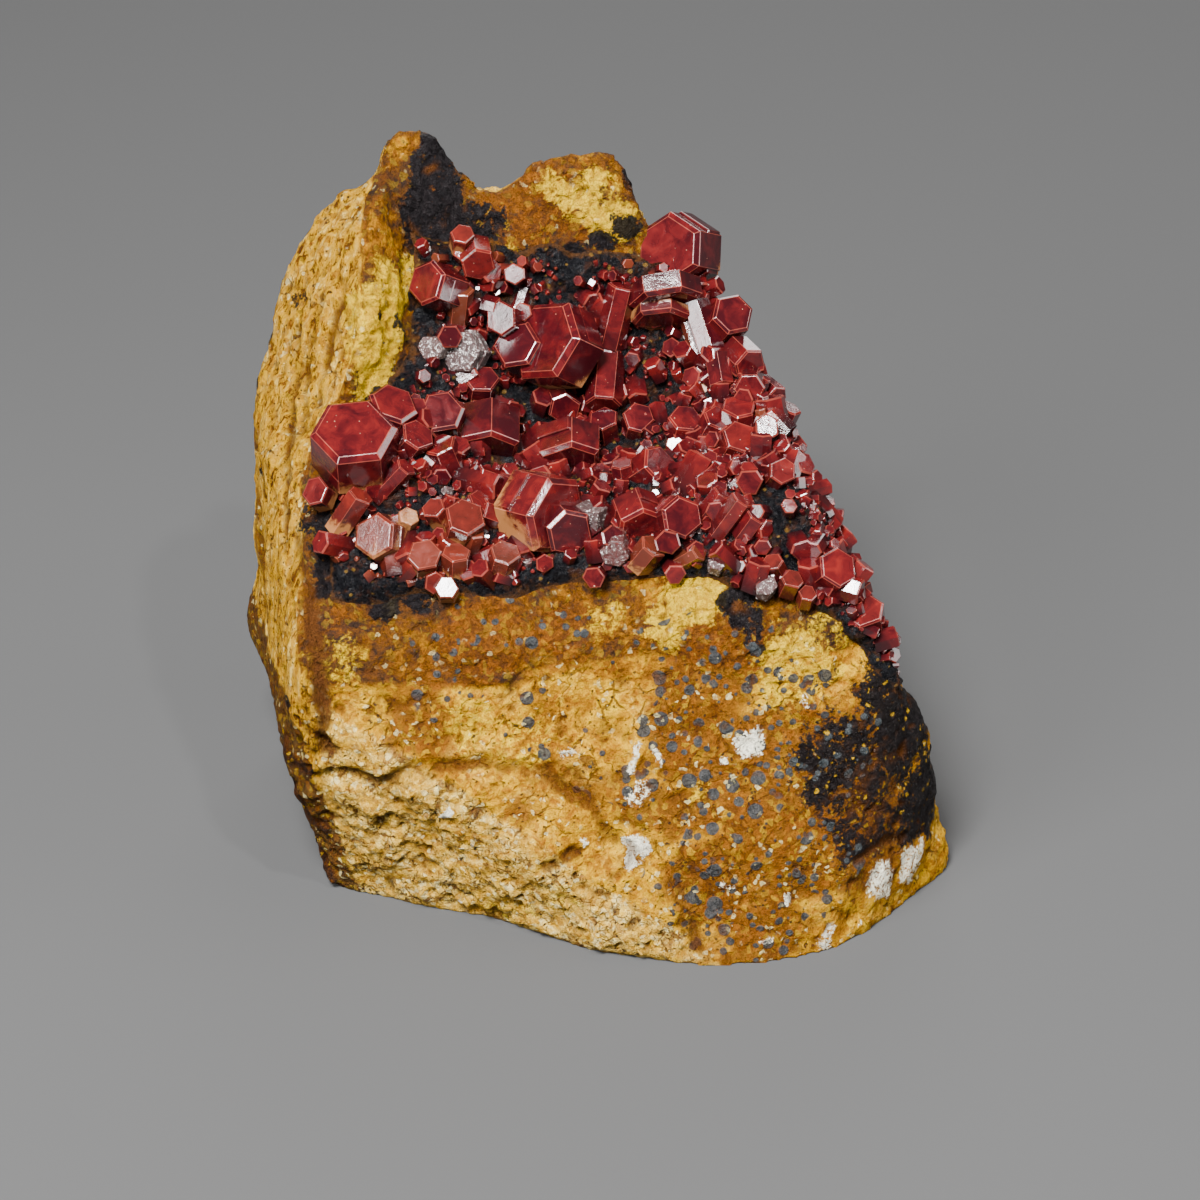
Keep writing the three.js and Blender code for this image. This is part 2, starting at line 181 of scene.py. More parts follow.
def ridged(p, grain, seed, rounds=3):
    """Noise with sharp crests, from 0 in the dips to 1 on the crests."""
    full = 1.75
    total = 0
    weight = 1.0
    for step in range(rounds):
        total = total + weight * (1 - np.abs(roughness(p + 31.7 * step, grain / 2**step, seed + step)))
        weight *= 0.5
    return total / full


def broken(p, grain, seed):
    """Tilted chips about grain millimetres wide, and how near each point is to a chip's middle."""
    step_between = 0.6
    q = p / grain
    cell = np.floor(q)
    nearest = np.full(len(p), FAR)
    tilt = np.zeros(len(p))
    for shift in np.ndindex(3, 3, 3):
        other = cell + np.array(shift) - 1
        at = [lattice(other[:, 0], other[:, 1], other[:, 2], seed + 10 * axis) for axis in range(6)]
        away = q - other - np.stack(at[:3], 1)
        distance = np.linalg.norm(away, axis=1)
        lean = np.stack(at[3:], 1) * 2 - 1
        closer = distance < nearest
        nearest = np.where(closer, distance, nearest)
        tilt = np.where(closer, (away * lean).sum(1) + step_between * (at[3] - 0.5), tilt)
    return tilt, nearest


# The rock, as the CAD part shapes it


def along_slope(p):
    return (p[..., 1] - LIP_BACK) * math.sqrt(0.5) + (p[..., 2] - LIP_HEIGHT) * math.sqrt(0.5)


def above_slope(p):
    return above_face(p, (0, -1, 1), (0, LIP_BACK, LIP_HEIGHT))


def left_crest(along):
    return -23.4 + 6.6 * smooth_step(9, 24, along)


def inside_hollow(p):
    floor_drop = 0.7
    bowl = outside_lump(p, (0, -2, 47), (18.5, 14, 13.6))
    floor = soft_max(above_slope(p) + floor_drop, -bowl, 5)
    wall = 0.86 * (p[..., 0] - left_crest(along_slope(p))) + 0.45 * above_slope(p)
    back_wall = above_face(p, (0.12, -0.93, 0.36), (-4, 12.2, 50))
    return soft_min(soft_min(floor, wall, 1.2), back_wall, 1.5)


def rock(p):
    """Negative inside the rock, positive outside."""
    first, *others = BLOCK_FACES.values()
    outside = above_face(p, *first[:2])
    for normal, at, soft in others:
        outside = soft_max(outside, above_face(p, normal, at), soft)
    peak = outside_lump(p, (-15.2, 13, 52.6), (3, 3.4, 4.8))
    saddle = outside_lump(p, (-8.6, 14.5, 55.6), (3.2, 6, 3.2))
    outside = soft_min(outside, peak, 1.4)
    outside = soft_max(outside, -saddle, 1)
    outside = soft_max(outside, inside_hollow(p), 0.8)
    return outside + 0.8 * roughness(p, 11, 3) + 0.5 * roughness(p, 5, 5) - SWELL


def druse_bed(p):
    """Positive where the druse covers the rock."""
    along = along_slope(p)
    x = p[..., 0]
    middle = smooth_step(-10, 2, x) * (1 - smooth_step(8, 13, x))
    lip = 0.5 + 1.8 * middle - 7.5 * smooth_step(16, 26, x)
    over_rim = np.minimum(above_slope(p) + 4.6, x - 8)
    wall_foot = 0.86 * (x - left_crest(along)) - 1.6
    bed = np.maximum(inside_hollow(p) + 1.6, over_rim)
    return np.minimum.reduce([bed, along - lip, DRUSE_TOP - along, wall_foot])


def outward_at(p, reach=0.4):
    out = np.empty_like(p)
    for axis in range(3):
        step = np.zeros(3)
        step[axis] = reach
        out[..., axis] = rock(p + step) - rock(p - step)
    return out / np.linalg.norm(out, axis=-1, keepdims=True)


def ray_through(pixel):
    ray = (
        INTO_PHOTO
        + IMAGE_RIGHT * (pixel[0] - PHOTO_CENTRE) * MM_PER_PIXEL / CAMERA_DISTANCE
        - IMAGE_UP * (pixel[1] - PHOTO_CENTRE) * MM_PER_PIXEL / CAMERA_DISTANCE
    )
    return ray / np.linalg.norm(ray)


def seat(pixel):
    """Where a pixel of the photograph lands on the rock, or passes closest to it."""
    nearer, farther, ray_step = 35, 50, 0.2
    ray = ray_through(pixel)
    along = np.arange(CAMERA_DISTANCE - nearer, CAMERA_DISTANCE + farther, ray_step)
    points = EYE + along[:, None] * ray
    gaps = rock(points)
    inside = np.nonzero(gaps <= 0)[0]
    hit = inside[0] if len(inside) else int(np.argmin(gaps))
    return float(gaps[hit]), points[hit], ray


def seen_at(p):
    """The photograph's pixel where each point is seen."""
    away = p - EYE
    depth = away @ INTO_PHOTO
    scale = CAMERA_DISTANCE / (depth * MM_PER_PIXEL)
    return PHOTO_CENTRE + (away @ IMAGE_RIGHT) * scale, PHOTO_CENTRE - (away @ IMAGE_UP) * scale


# Meshes


def linked(name, data):
    """A new object of the scene with that data."""
    item = bpy.data.objects.new(name, data)
    bpy.context.scene.collection.objects.link(item)
    return item


def mesh_object(name, points, faces, smooth=True):
    """A mesh object at the origin from points in millimetres."""
    mesh = bpy.data.meshes.new(name)
    mesh.from_pydata((np.asarray(points) * MM).tolist(), [], [tuple(map(int, face)) for face in faces])
    mesh.validate()
    if smooth:
        mesh.shade_smooth()
    return linked(name, mesh)


def points_of(mesh):
    points = np.empty(len(mesh.vertices) * 3, np.float32)
    mesh.vertices.foreach_get("co", points)
    return points.reshape(-1, 3).astype(float) / MM


def set_points(mesh, points):
    mesh.vertices.foreach_set("co", (np.asarray(points) * MM).astype(np.float32).ravel())
    mesh.update()


def put_attributes(mesh, values):
    """Writes a number for each point of the mesh under each key."""
    for key, amount in values.items():
        layer = mesh.attributes.new(key, "FLOAT", "POINT")
        layer.data.foreach_set("value", np.asarray(amount, np.float32))


def baked(piece, name):
    """The piece with its modifiers applied, as a new plain object of that name."""
    bpy.context.view_layer.update()
    graph = bpy.context.evaluated_depsgraph_get()
    mesh = bpy.data.meshes.new_from_object(piece.evaluated_get(graph))
    mesh.name = name
    bpy.data.objects.remove(piece)
    return linked(name, mesh)


def finished(piece, slot_name, material, *nodes):
    """Gives a piece its material, hangs it on the root body, and hides the CAD nodes that it replaces."""
    piece.data.materials.clear()
    piece.data.materials.append(material)
    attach(piece, "root")
    if nodes:
        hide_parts(*nodes)
    return piece


# Shader maths


class Wire:
    """One socket of a material's nodes, with arithmetic."""

    def __init__(self, tree, socket):
        self.tree = tree
        self.socket = socket

    def maths(self, operation, *others, clamp=False):
        node = self.tree.nodes.new("ShaderNodeMath")
        node.operation = operation
        node.use_clamp = clamp
        for place, value in enumerate((self, *others)):
            plug(self.tree, node.inputs[place], value)
        return Wire(self.tree, node.outputs[0])

    def __add__(self, other):
        return self.maths("ADD", other)

    __radd__ = __add__

    def __mul__(self, other):
        return self.maths("MULTIPLY", other)

    __rmul__ = __mul__

    def __sub__(self, other):
        return self.maths("SUBTRACT", other)

    def __rsub__(self, other):
        return (self * -1) + other

    def clamped(self):
        return self.maths("ADD", 0.0, clamp=True)

    def most(self, other):
        return self.maths("MAXIMUM", other)

    def between(self, low, high):
        """0 below low, 1 above high, smooth in between."""
        node = self.tree.nodes.new("ShaderNodeMapRange")
        node.interpolation_type = "SMOOTHSTEP"
        plug(self.tree, node.inputs["Value"], self)
        plug(self.tree, node.inputs["From Min"], low)
        plug(self.tree, node.inputs["From Max"], high)
        return Wire(self.tree, node.outputs[0])


def plug(tree, socket, value):
    """Fills a socket with a wire, a number, a colour or the name of a tone."""
    if isinstance(value, str):
        value = TONES[value]
    if isinstance(value, Wire):
        tree.links.new(value.socket, socket)
    elif isinstance(value, (tuple, list)) and len(value) == 3 and len(socket.default_value) == 4:
        socket.default_value = (*value, 1.0)
    else:
        socket.default_value = value


class Finish:
    """A material under construction."""

    def __init__(self, name):
        self.material = bpy.data.materials.new(name)
        self.material.use_nodes = True
        self.tree = self.material.node_tree
        self.tree.nodes.clear()

    def node(self, kind, settings=None, output=0, **values):
        """Makes a node, sets it up, then fills its sockets; a socket's name has _ for each space."""
        node = self.tree.nodes.new(kind)
        for key, value in (settings or {}).items():
            if key == "stops":
                self.set_stops(node.color_ramp, value)
            else:
                setattr(node, key, value)
        for key, value in values.items():
            plug(self.tree, node.inputs[key.replace("_", " ")], value)
        return Wire(self.tree, node.outputs[output])

    @staticmethod
    def set_stops(ramp, stops):
        while len(ramp.elements) > 1:
            ramp.elements.remove(ramp.elements[-1])
        for place, (at, colour) in enumerate(stops):
            element = ramp.elements[0] if place == 0 else ramp.elements.new(at)
            element.position = at
            element.color = (*TONES[colour], 1.0)

    def place(self):
        """Object coordinates in millimetres."""
        spot = self.node("ShaderNodeTexCoord", output="Object")
        return self.vector("SCALE", spot, scale=1 / MM)

    def vector(self, operation, first, second=None, scale=None):
        node = self.tree.nodes.new("ShaderNodeVectorMath")
        node.operation = operation
        plug(self.tree, node.inputs[0], first)
        if second is not None:
            plug(self.tree, node.inputs[1], second)
        if scale is not None:
            plug(self.tree, node.inputs["Scale"], scale)
        return Wire(self.tree, node.outputs["Vector"])

    def attribute(self, key):
        return self.node("ShaderNodeAttribute", {"attribute_name": key}, output="Fac")

    def noise(self, where, grain, detail, rough=0.55, warp=0.0):
        return self.node(
            "ShaderNodeTexNoise",
            {"noise_dimensions": "3D"},
            output="Fac",
            Vector=where,
            Scale=1 / grain,
            Detail=detail,
            Roughness=rough,
            Distortion=warp,
        )

    def cells(self, where, grain, feature="F1", output="Distance"):
        return self.node(
            "ShaderNodeTexVoronoi",
            {"feature": feature},
            output=output,
            Vector=where,
            Scale=1 / grain,
        )

    def chances(self, where, grain):
        """Two random numbers for each cell."""
        shade = self.cells(where, grain, output="Color")
        parts = self.node("ShaderNodeSeparateColor", Color=shade).socket.node.outputs
        return Wire(self.tree, parts[0]), Wire(self.tree, parts[1])

    def mix(self, share, first, second):
        node = self.tree.nodes.new("ShaderNodeMix")
        node.data_type = "RGBA"
        plug(self.tree, node.inputs[0], share)
        plug(self.tree, node.inputs[6], first)
        plug(self.tree, node.inputs[7], second)
        return Wire(self.tree, node.outputs[2])

    def ramp(self, share, stops):
        return self.node("ShaderNodeValToRGB", {"stops": stops}, Fac=share)

    def bump(self, height, reach, strength=1.0, under=None):
        """Relief, with reach in millimetres for a height of 1."""
        node = self.tree.nodes.new("ShaderNodeBump")
        plug(self.tree, node.inputs["Height"], height)
        node.inputs["Distance"].default_value = reach * MM
        node.inputs["Strength"].default_value = strength
        if under is not None:
            plug(self.tree, node.inputs["Normal"], under)
        return Wire(self.tree, node.outputs[0])

    def close(self, **values):
        shader = self.tree.nodes.new("ShaderNodeBsdfPrincipled")
        for key, value in values.items():
            plug(self.tree, shader.inputs[key.replace("_", " ")], value)
        out = self.tree.nodes.new("ShaderNodeOutputMaterial")
        self.tree.links.new(shader.outputs[0], out.inputs["Surface"])
        return self.material


# Colours of the mineral's parts, and of its painted highlights, glints and shade, as shader values
TONES = {
    "ochre dark": (0.110, 0.038, 0.002),
    "ochre": (0.340, 0.135, 0.001),
    "ochre bright": (0.600, 0.300, 0.001),
    "ochre pale": (0.800, 0.480, 0.005),
    "beige dark": (0.190, 0.085, 0.010),
    "beige": (0.560, 0.300, 0.030),
    "beige light": (0.880, 0.590, 0.130),
    "chalk": (0.950, 0.900, 0.700),
    "cream": (0.950, 0.820, 0.380),
    "yellow": (0.520, 0.290, 0.001),
    "yellow pale": (0.740, 0.480, 0.006),
    "brown": (0.085, 0.026, 0.003),
    "brown orange": (0.210, 0.062, 0.003),
    "brown black": (0.026, 0.013, 0.008),
    "black": (0.003, 0.003, 0.004),
    "soot": (0.009, 0.009, 0.011),
    "slate": (0.028, 0.033, 0.035),
    "slate light": (0.055, 0.063, 0.066),
    "crust brown": (0.030, 0.010, 0.005),
    "crust rust": (0.200, 0.110, 0.020),
    "maroon": (0.022, 0.0018, 0.0032),
    # Painted shade at the foot of the crystals
    "painted shade garnet": (0.009, 0.0018, 0.0024),
    "red": (0.068, 0.0045, 0.0050),
    "red bright": (0.145, 0.0090, 0.0060),
    "orange red": (0.240, 0.0400, 0.0120),
    "amber": (0.066, 0.0175, 0.0072),
    "clay": (0.260, 0.105, 0.028),
    # Painted highlight of the crystals' bevelled edges
    "edge": (0.280, 0.060, 0.036),
    "dust": (0.500, 0.260, 0.160),
    "pewter": (0.045, 0.026, 0.024),
    # Painted glints on etched crystals
    "painted glint silver": (0.800, 0.760, 0.720),
}


# Stains of the block, as they are seen: the pixel of the middle, the reach in millimetres, the strength
STAINS = {
    "brown": [
        # The first four darken the left face towards its bottom
        ((262, 560), 3.0, 0.8), ((258, 500), 3.0, 0.6), ((270, 620), 3.0, 0.8), ((250, 430), 2.0, 0.6),
        ((390, 330), 1.6, 0.9), ((560, 190), 3.0, 0.9), ((545, 190), 2.5, 0.85), ((580, 230), 2.2, 0.8),
        ((850, 770), 7.0, 1.0), ((880, 840), 6.0, 1.0), ((800, 720), 4.0, 0.8), ((770, 830), 5.0, 0.85),
        ((395, 345), 2.0, 0.7), ((400, 290), 1.6, 0.7), ((480, 634), 4.2, 0.95), ((560, 628), 3.0, 0.8),
        ((600, 650), 2.6, 0.5), ((432, 676), 2.6, 0.5), ((419, 723), 4.0, 0.75), ((755, 650), 3.2, 0.9),
        ((708, 668), 5.0, 0.85), ((701, 733), 5.0, 0.85), ((762, 758), 5.0, 0.95), ((726, 794), 4.0, 0.9),
        ((815, 801), 4.6, 0.9), ((798, 865), 4.4, 0.85), ((762, 919), 4.6, 0.95), ((708, 883), 4.6, 0.95),
        ((645, 801), 3.2, 0.8), ((610, 790), 2.2, 0.5), ((680, 812), 2.2, 0.8), ((312, 700), 1.2, 0.7),
        ((526, 812), 1.6, 0.6), ((475, 835), 1.4, 0.5), ((334, 628), 1.8, 0.6), ((540, 700), 1.8, 0.5),
        ((640, 900), 2.4, 0.4), ((700, 940), 2.4, 0.4), ((530, 240), 2.6, 0.95), ((600, 235), 2.0, 0.8),
        ((560, 215), 2.2, 0.8), ((520, 180), 2.0, 0.6), ((500, 215), 2.6, 0.7), ((560, 235), 2.4, 0.5),
    ],
    "dark": [
        ((288, 705), 1.3, 0.9), ((302, 765), 1.8, 1.0), ((316, 820), 1.8, 1.0), ((330, 870), 1.6, 1.0),
        ((340, 895), 1.0, 1.0), ((256, 380), 1.6, 0.7), ((262, 330), 1.4, 0.6), ((262, 470), 1.2, 0.6),
        ((418, 345), 1.2, 0.9), ((405, 372), 1.2, 0.9), ((372, 395), 1.2, 0.8), ((744, 602), 1.8, 1.0),
        ((750, 622), 1.7, 0.9), ((757, 640), 1.4, 0.7), ((851, 758), 5.5, 0.8), ((905, 723), 5.0, 1.0),
        ((923, 794), 5.0, 1.0), ((869, 830), 4.2, 0.75), ((885, 690), 3.6, 0.9), ((846, 800), 3.4, 0.7),
        ((310, 850), 3.0, 1.0), ((295, 790), 3.0, 1.0), ((325, 890), 2.6, 1.0), ((285, 740), 2.0, 0.8),
        ((430, 160), 2.4, 1.0), ((437, 190), 3.0, 1.0), ((428, 225), 2.8, 1.0), ((445, 250), 2.6, 1.0),
        ((470, 225), 2.6, 0.9), ((505, 228), 1.8, 0.8), ((540, 268), 2.2, 0.9), ((573, 262), 1.8, 0.9),
        ((412, 300), 1.2, 1.0), ((397, 322), 1.0, 0.9), ((380, 320), 0.8, 0.9), ((628, 185), 1.6, 0.9),
        ((626, 218), 1.5, 0.9), ((600, 245), 1.4, 0.8), ((300, 300), 1.2, 0.5), ((288, 420), 1.4, 0.5),
        ((355, 580), 2.2, 1.0), ((330, 590), 2.0, 0.9), ((395, 600), 2.2, 1.0), ((430, 608), 1.6, 1.0),
        ((318, 560), 1.6, 0.9), ((318, 520), 1.6, 0.8),
    ],
    "yellow": [
        ((698, 598), 3.2, 1.0), ((673, 622), 2.6, 0.8), ((600, 618), 2.4, 0.5), ((798, 662), 4.2, 0.7),
        ((834, 625), 2.4, 0.6), ((473, 723), 2.4, 0.7), ((458, 700), 2.0, 0.5), ((340, 665), 3.0, 0.4),
        ((530, 740), 3.0, 0.5), ((385, 300), 3.6, 1.0), ((375, 340), 3.2, 1.0), ((370, 380), 2.6, 0.9),
        ((405, 265), 2.4, 0.7), ((610, 215), 2.6, 1.0), ((585, 200), 2.4, 0.8), ((560, 190), 2.2, 0.6),
        ((515, 265), 1.6, 0.7), ((345, 415), 1.8, 0.8), ((400, 610), 1.3, 0.6), ((560, 900), 3.0, 0.4),
        ((505, 910), 3.2, 0.5), ((700, 790), 1.6, 0.6),
    ],
    "white": [
        ((442, 807), 0.9, 1.0), ((398, 820), 0.55, 1.0), ((466, 849), 0.6, 1.0), ((479, 845), 0.6, 1.0),
        ((459, 898), 0.6, 0.8), ((634, 848), 1.3, 0.9), ((751, 744), 1.4, 0.8), ((760, 735), 1.0, 0.7),
        ((637, 755), 0.9, 0.7), ((566, 763), 1.1, 0.7), ((664, 755), 0.6, 0.8), ((644, 785), 1.6, 0.6),
        ((795, 895), 0.8, 0.9), ((909, 862), 2.4, 0.7), ((880, 882), 2.2, 0.7), ((823, 935), 1.1, 0.7),
        ((812, 700), 1.2, 0.6), ((603, 816), 0.5, 0.8), ((583, 838), 0.6, 0.7), ((728, 760), 0.7, 0.8),
        ((733, 880), 0.8, 0.7), ((800, 780), 0.8, 0.6), ((770, 940), 0.7, 0.6), ((860, 918), 1.0, 0.7),
    ],
    "dots": [
        ((700, 665), 5.0, 0.8), ((740, 690), 5.5, 1.0), ((700, 720), 5.5, 1.0), ((760, 745), 5.0, 0.9),
        ((680, 770), 5.0, 1.0), ((640, 780), 3.6, 0.7), ((790, 800), 5.0, 0.9), ((730, 850), 5.0, 1.0),
        ((700, 880), 4.0, 1.0), ((760, 900), 5.0, 1.0), ((740, 940), 4.0, 0.9), ((830, 750), 5.0, 0.8),
        ((820, 860), 4.5, 0.6), ((860, 700), 4.0, 0.5), ((510, 640), 4.0, 0.5), ((450, 660), 4.5, 0.35),
        ((410, 700), 3.5, 0.3), ((600, 640), 4.0, 0.35), ((550, 700), 4.0, 0.25), ((600, 750), 4.0, 0.3),
    ],
}

# Furrows and ledges of the block: pixels of the line, width and depth in millimetres, and how dark the
# painted shade along it is
FURROWS = [
    ([(308, 590), (316, 650), (321, 700), (325, 752)], 0.55, 0.75, 1.0),
    ([(300, 540), (306, 600)], 0.5, 0.4, 0.6),
    ([(322, 762), (372, 768), (420, 755), (470, 748), (500, 742)], 0.5, -0.35, 0.0),
    ([(330, 772), (380, 778), (430, 768), (490, 760), (540, 772), (580, 800)], 0.45, 0.4, 0.35),
    ([(575, 770), (592, 800), (604, 830), (640, 862)], 0.4, 0.3, 0.5),
    ([(520, 672), (512, 684), (508, 692)], 0.35, 0.5, 0.9),
    ([(625, 818), (640, 832), (662, 852)], 0.3, 0.3, 0.5),
    ([(540, 868), (560, 860), (575, 852)], 0.35, 0.35, 0.6),
    ([(675, 880), (690, 915), (697, 950)], 0.35, 0.3, 0.5),
    ([(855, 862), (880, 845), (905, 838)], 0.35, 0.4, 0.5),
    ([(300, 330), (292, 400), (288, 470), (287, 540)], 0.4, 0.35, 0.5),
    ([(345, 280), (330, 340), (318, 400)], 0.35, 0.3, 0.4),
    ([(320, 300), (306, 370), (300, 430)], 0.3, 0.3, 0.4),
]


def spots_on_rock(kind, p):
    """How strongly the stains of one kind colour each point, from 0 to 1."""
    total = np.zeros(len(p))
    for pixel, reach, strength in STAINS[kind]:
        _, centre, _ = seat(pixel)
        distance = np.linalg.norm(p - centre, axis=1) / reach
        total = np.maximum(total, strength * smooth_step(1.3, 0.45, distance))
    return total


def distance_to_line(p, corners):
    nearest = np.full(len(p), FAR)
    for start, end in zip(corners, corners[1:]):
        span = end - start
        share = np.clip((p - start) @ span / (span @ span), 0, 1)
        nearest = np.minimum(nearest, np.linalg.norm(p - start - share[:, None] * span, axis=1))
    return nearest


def face_share(p, name, reach=1.5):
    """1 where a broken face makes the surface, fading to 0 within reach of it."""
    full_within = 0.3
    normal, at, _ = BLOCK_FACES[name]
    return smooth_step(-reach, -full_within, above_face(p, normal, at))


# The matrix


def rock_zones(p):
    """Shares of the kinds of surface that the block has."""
    left_faces = ("left", "left shoulder", "left crown")
    hollow = smooth_step(-1.6, -0.4, inside_hollow(p))
    foot = face_share(p, "broken foot") * (1 - hollow)
    left = np.maximum.reduce([face_share(p, name, 2.5) for name in left_faces])
    left = left * (1 - hollow)
    under = face_share(p, "left under") * (1 - hollow)
    behind = smooth_step(2, 9, p[:, 1]) * (1 - hollow) * (1 - left)
    return {"hollow": hollow, "foot": foot, "left": left, "under": under, "behind": behind}


def even_copy(name, node, voxel):
    """The CAD node's mesh, with its doubles merged, as an even mesh of small squares."""
    copy = linked(f"{name}_copy", frame["nodes"][node].data.copy())
    shape = bmesh.new()
    shape.from_mesh(copy.data)
    bmesh.ops.remove_doubles(shape, verts=shape.verts, dist=0.001 * MM)
    shape.to_mesh(copy.data)
    shape.free()
    copy.data.materials.clear()
    remesh = copy.modifiers.new("even", "REMESH")
    remesh.mode = "VOXEL"
    remesh.voxel_size = voxel * MM
    return baked(copy, name)


def furrows_at(p):
    """How deep the furrows cut each point, and how dark their painted shade is there."""
    depth_here = np.zeros(len(p))
    dark_here = np.zeros(len(p))
    for pixels, width, depth, darkness in FURROWS:
        corners = [seat(pixel)[1] for pixel in pixels]
        near = smooth_step(2.2, 0.3, distance_to_line(p, corners) / width)
        depth_here += depth * near
        dark_here = np.maximum(dark_here, darkness * near)
    return depth_here, dark_here


def relief_of(p, warped, zone, stains):
    """Crumbly on the foot, ribbed up the left, waxy on the front, scaly in the hollow; and the pits."""
    crumbly = layered(p, 2.4, 60, 4, 0.65)
    chips, _ = broken(p + 0.3 * (warped - p), 2.3, 210)
    small_chips, _ = broken(p, 1.1, 220)
    _, pit_reach = broken(warped, 1.7, 230)
    pits = smooth_step(0.32, 0.12, pit_reach)
    upright = p * np.array([1, 1, 0.16])
    ribbed = layered(upright, 1.5, 70, 3, 0.65) + 0.5 * layered(p, 1.6, 75, 3)
    waxy = layered(p, 5.5, 80, 3, 0.5)
    scaly = ridged(p, 2.2, 86) - 0.6
    calm = np.clip(1 - zone["foot"] - zone["left"] - zone["hollow"], 0, 1)
    relief = zone["foot"] * (0.22 * crumbly + 0.30 * chips + 0.20 * small_chips - 0.5 * pits)
    relief += zone["left"] * (0.26 * ribbed + 0.12 * small_chips - 0.3 * pits)
    relief += zone["hollow"] * (0.5 * scaly + 0.3 * chips + 0.15 * small_chips)
    relief += calm * (0.3 * waxy + 0.2 * crumbly + 0.14 * small_chips - 0.25 * pits)
    relief += calm * zone["behind"] * (0.2 * crumbly + 0.3 * chips)
    relief += 0.2 * stains["yellow"] * (1 + small_chips) + 0.25 * stains["white"] + 0.1 * stains["dark"]
    return relief, pits


def build_matrix(voxel):
    longest_pull = 0.8
    flat_below = 0.12
    block = even_copy("limonite_block", "matrix", voxel)

    # Drawn onto the rock's shape, apart from the flat base
    p = points_of(block.data)
    free = smooth_step(0.05, 1.2, p[:, 2])
    for _ in range(2):
        gap = np.clip(rock(p), -longest_pull, longest_pull)
        p = p - outward_at(p) * (gap * free)[:, None]
    p[:, 2] = np.maximum(p[:, 2], 0)
    set_points(block.data, p)

    outward = outward_at(p, 0.6)
    zone = rock_zones(p)
    warp = [roughness(p, 2.6, 40 + n) + 0.5 * roughness(p, 1.1, 50 + n) for n in range(3)]
    warped = p + np.stack(warp, 1)
    stains = {kind: spots_on_rock(kind, warped) for kind in STAINS}
    relief, pits = relief_of(p, warped, zone, stains)
    furrow, groove = furrows_at(warped * 0.4 + p * 0.6)
    relief -= furrow
    p = p + outward * (relief * free)[:, None]
    p[:, 2] = np.where(p[:, 2] < flat_below, 0, p[:, 2])
    set_points(block.data, p)

    raised = np.clip(0.5 + relief, 0, 1)
    put_attributes(block.data, {**stains, **zone, "groove": groove, "raised": raised, "pitted": pits})
    block.data.shade_smooth()
    return block


class Rock:
    """The noises and the zones that every step of the limonite's finish reads."""

    RELIEF_KEYS = ("hollow", "foot", "left", "under", "behind", "groove", "raised", "pitted")

    def __init__(self, f):
        self.at = f.place()
        warp = f.node("ShaderNodeTexNoise", output="Color", Vector=self.at, Scale=0.9, Detail=3.0)
        self.bent = f.vector("ADD", self.at, f.vector("SCALE", warp, scale=0.8))
        self.fine = f.noise(self.bent, 0.5, 6.0, 0.7)
        self.middle = f.noise(self.at, 1.9, 7.0, 0.65, 0.4)
        self.broad = f.noise(self.at, 6.5, 5.0, 0.55, 0.5)
        self.speck = f.noise(self.at, 0.2, 3.0, 0.65)
        flattened = (1.0, 1.0, 0.13)
        upright = f.node("ShaderNodeMapping", {"vector_type": "POINT"}, Vector=self.at, Scale=flattened)
        self.streak = f.noise(upright, 0.7, 7.0, 0.7, 0.6)
        self.mark = {key: f.attribute(key) for key in (*STAINS, *self.RELIEF_KEYS)}
        self.darkness = self.edged("dark", 0.4, 0.6, 2.1)

    def edged(self, key, low=0.3, high=0.7, jitter=1.1):
        """A zone whose edge is broken up by the grain of the rock."""
        return (self.mark[key] + (self.middle - 0.5) * jitter + (self.fine - 0.5) * jitter).between(low, high)


def rock_ground(f, r):
    """The rock's colour in each zone, and painted shade in the gaps between its crumbs."""
    ochre = f.ramp(
        r.broad * 0.3 + r.middle * 0.4 + r.fine * 0.3,
        [(0.38, "ochre dark"), (0.455, "ochre"), (0.52, "ochre bright"), (0.62, "ochre pale")],
    )
    beige = f.ramp(
        r.broad * 0.15 + r.middle * 0.4 + r.fine * 0.45,
        [(0.35, "beige dark"), (0.44, "beige"), (0.52, "beige light"), (0.61, "cream")],
    )
    ribbed = f.ramp(
        r.streak * 0.55 + r.fine * 0.25 + r.middle * 0.2,
        [(0.39, "brown"), (0.44, "ochre dark"), (0.48, "ochre bright"),
         (0.53, "beige"), (0.60, "beige light")],
    )
    scaly = f.ramp(
        r.broad * 0.3 + r.middle * 0.45 + r.fine * 0.25,
        [(0.43, "brown black"), (0.51, "ochre dark"), (0.58, "ochre"), (0.64, "yellow")],
    )
    crumb, _ = f.chances(r.bent, 0.55)
    crumbs = f.ramp(
        crumb * 0.5 + r.fine * 0.9 + r.middle * 0.7 - 0.62,
        [(0.05, "ochre dark"), (0.25, "ochre bright"), (0.45, "beige"),
         (0.68, "beige light"), (0.88, "cream")],
    )
    beige = f.mix(0.6, beige, crumbs)
    patchy = (f.noise(r.at, 4.2, 3.0, 0.6) + (r.fine - 0.5) * 0.4).between(0.54, 0.62)
    loose = r.edged("foot").most(patchy * 0.2 * (1 - r.mark["hollow"]))
    gap = f.cells(r.bent, 0.8, feature="DISTANCE_TO_EDGE")
    crumb_edge = (0.05 - gap + (r.middle - 0.5) * 0.6).between(0.0, 0.08) * loose.most(r.mark["behind"])
    colour = f.mix(loose, ochre, beige)
    colour = f.mix(r.edged("left"), colour, ribbed)
    colour = f.mix(r.edged("behind"), colour, beige)
    # Painted shade in the gaps between crumbs
    colour = f.mix(crumb_edge * 0.6, colour, "brown")
    return f.mix(r.edged("hollow"), colour, scaly), crumb_edge


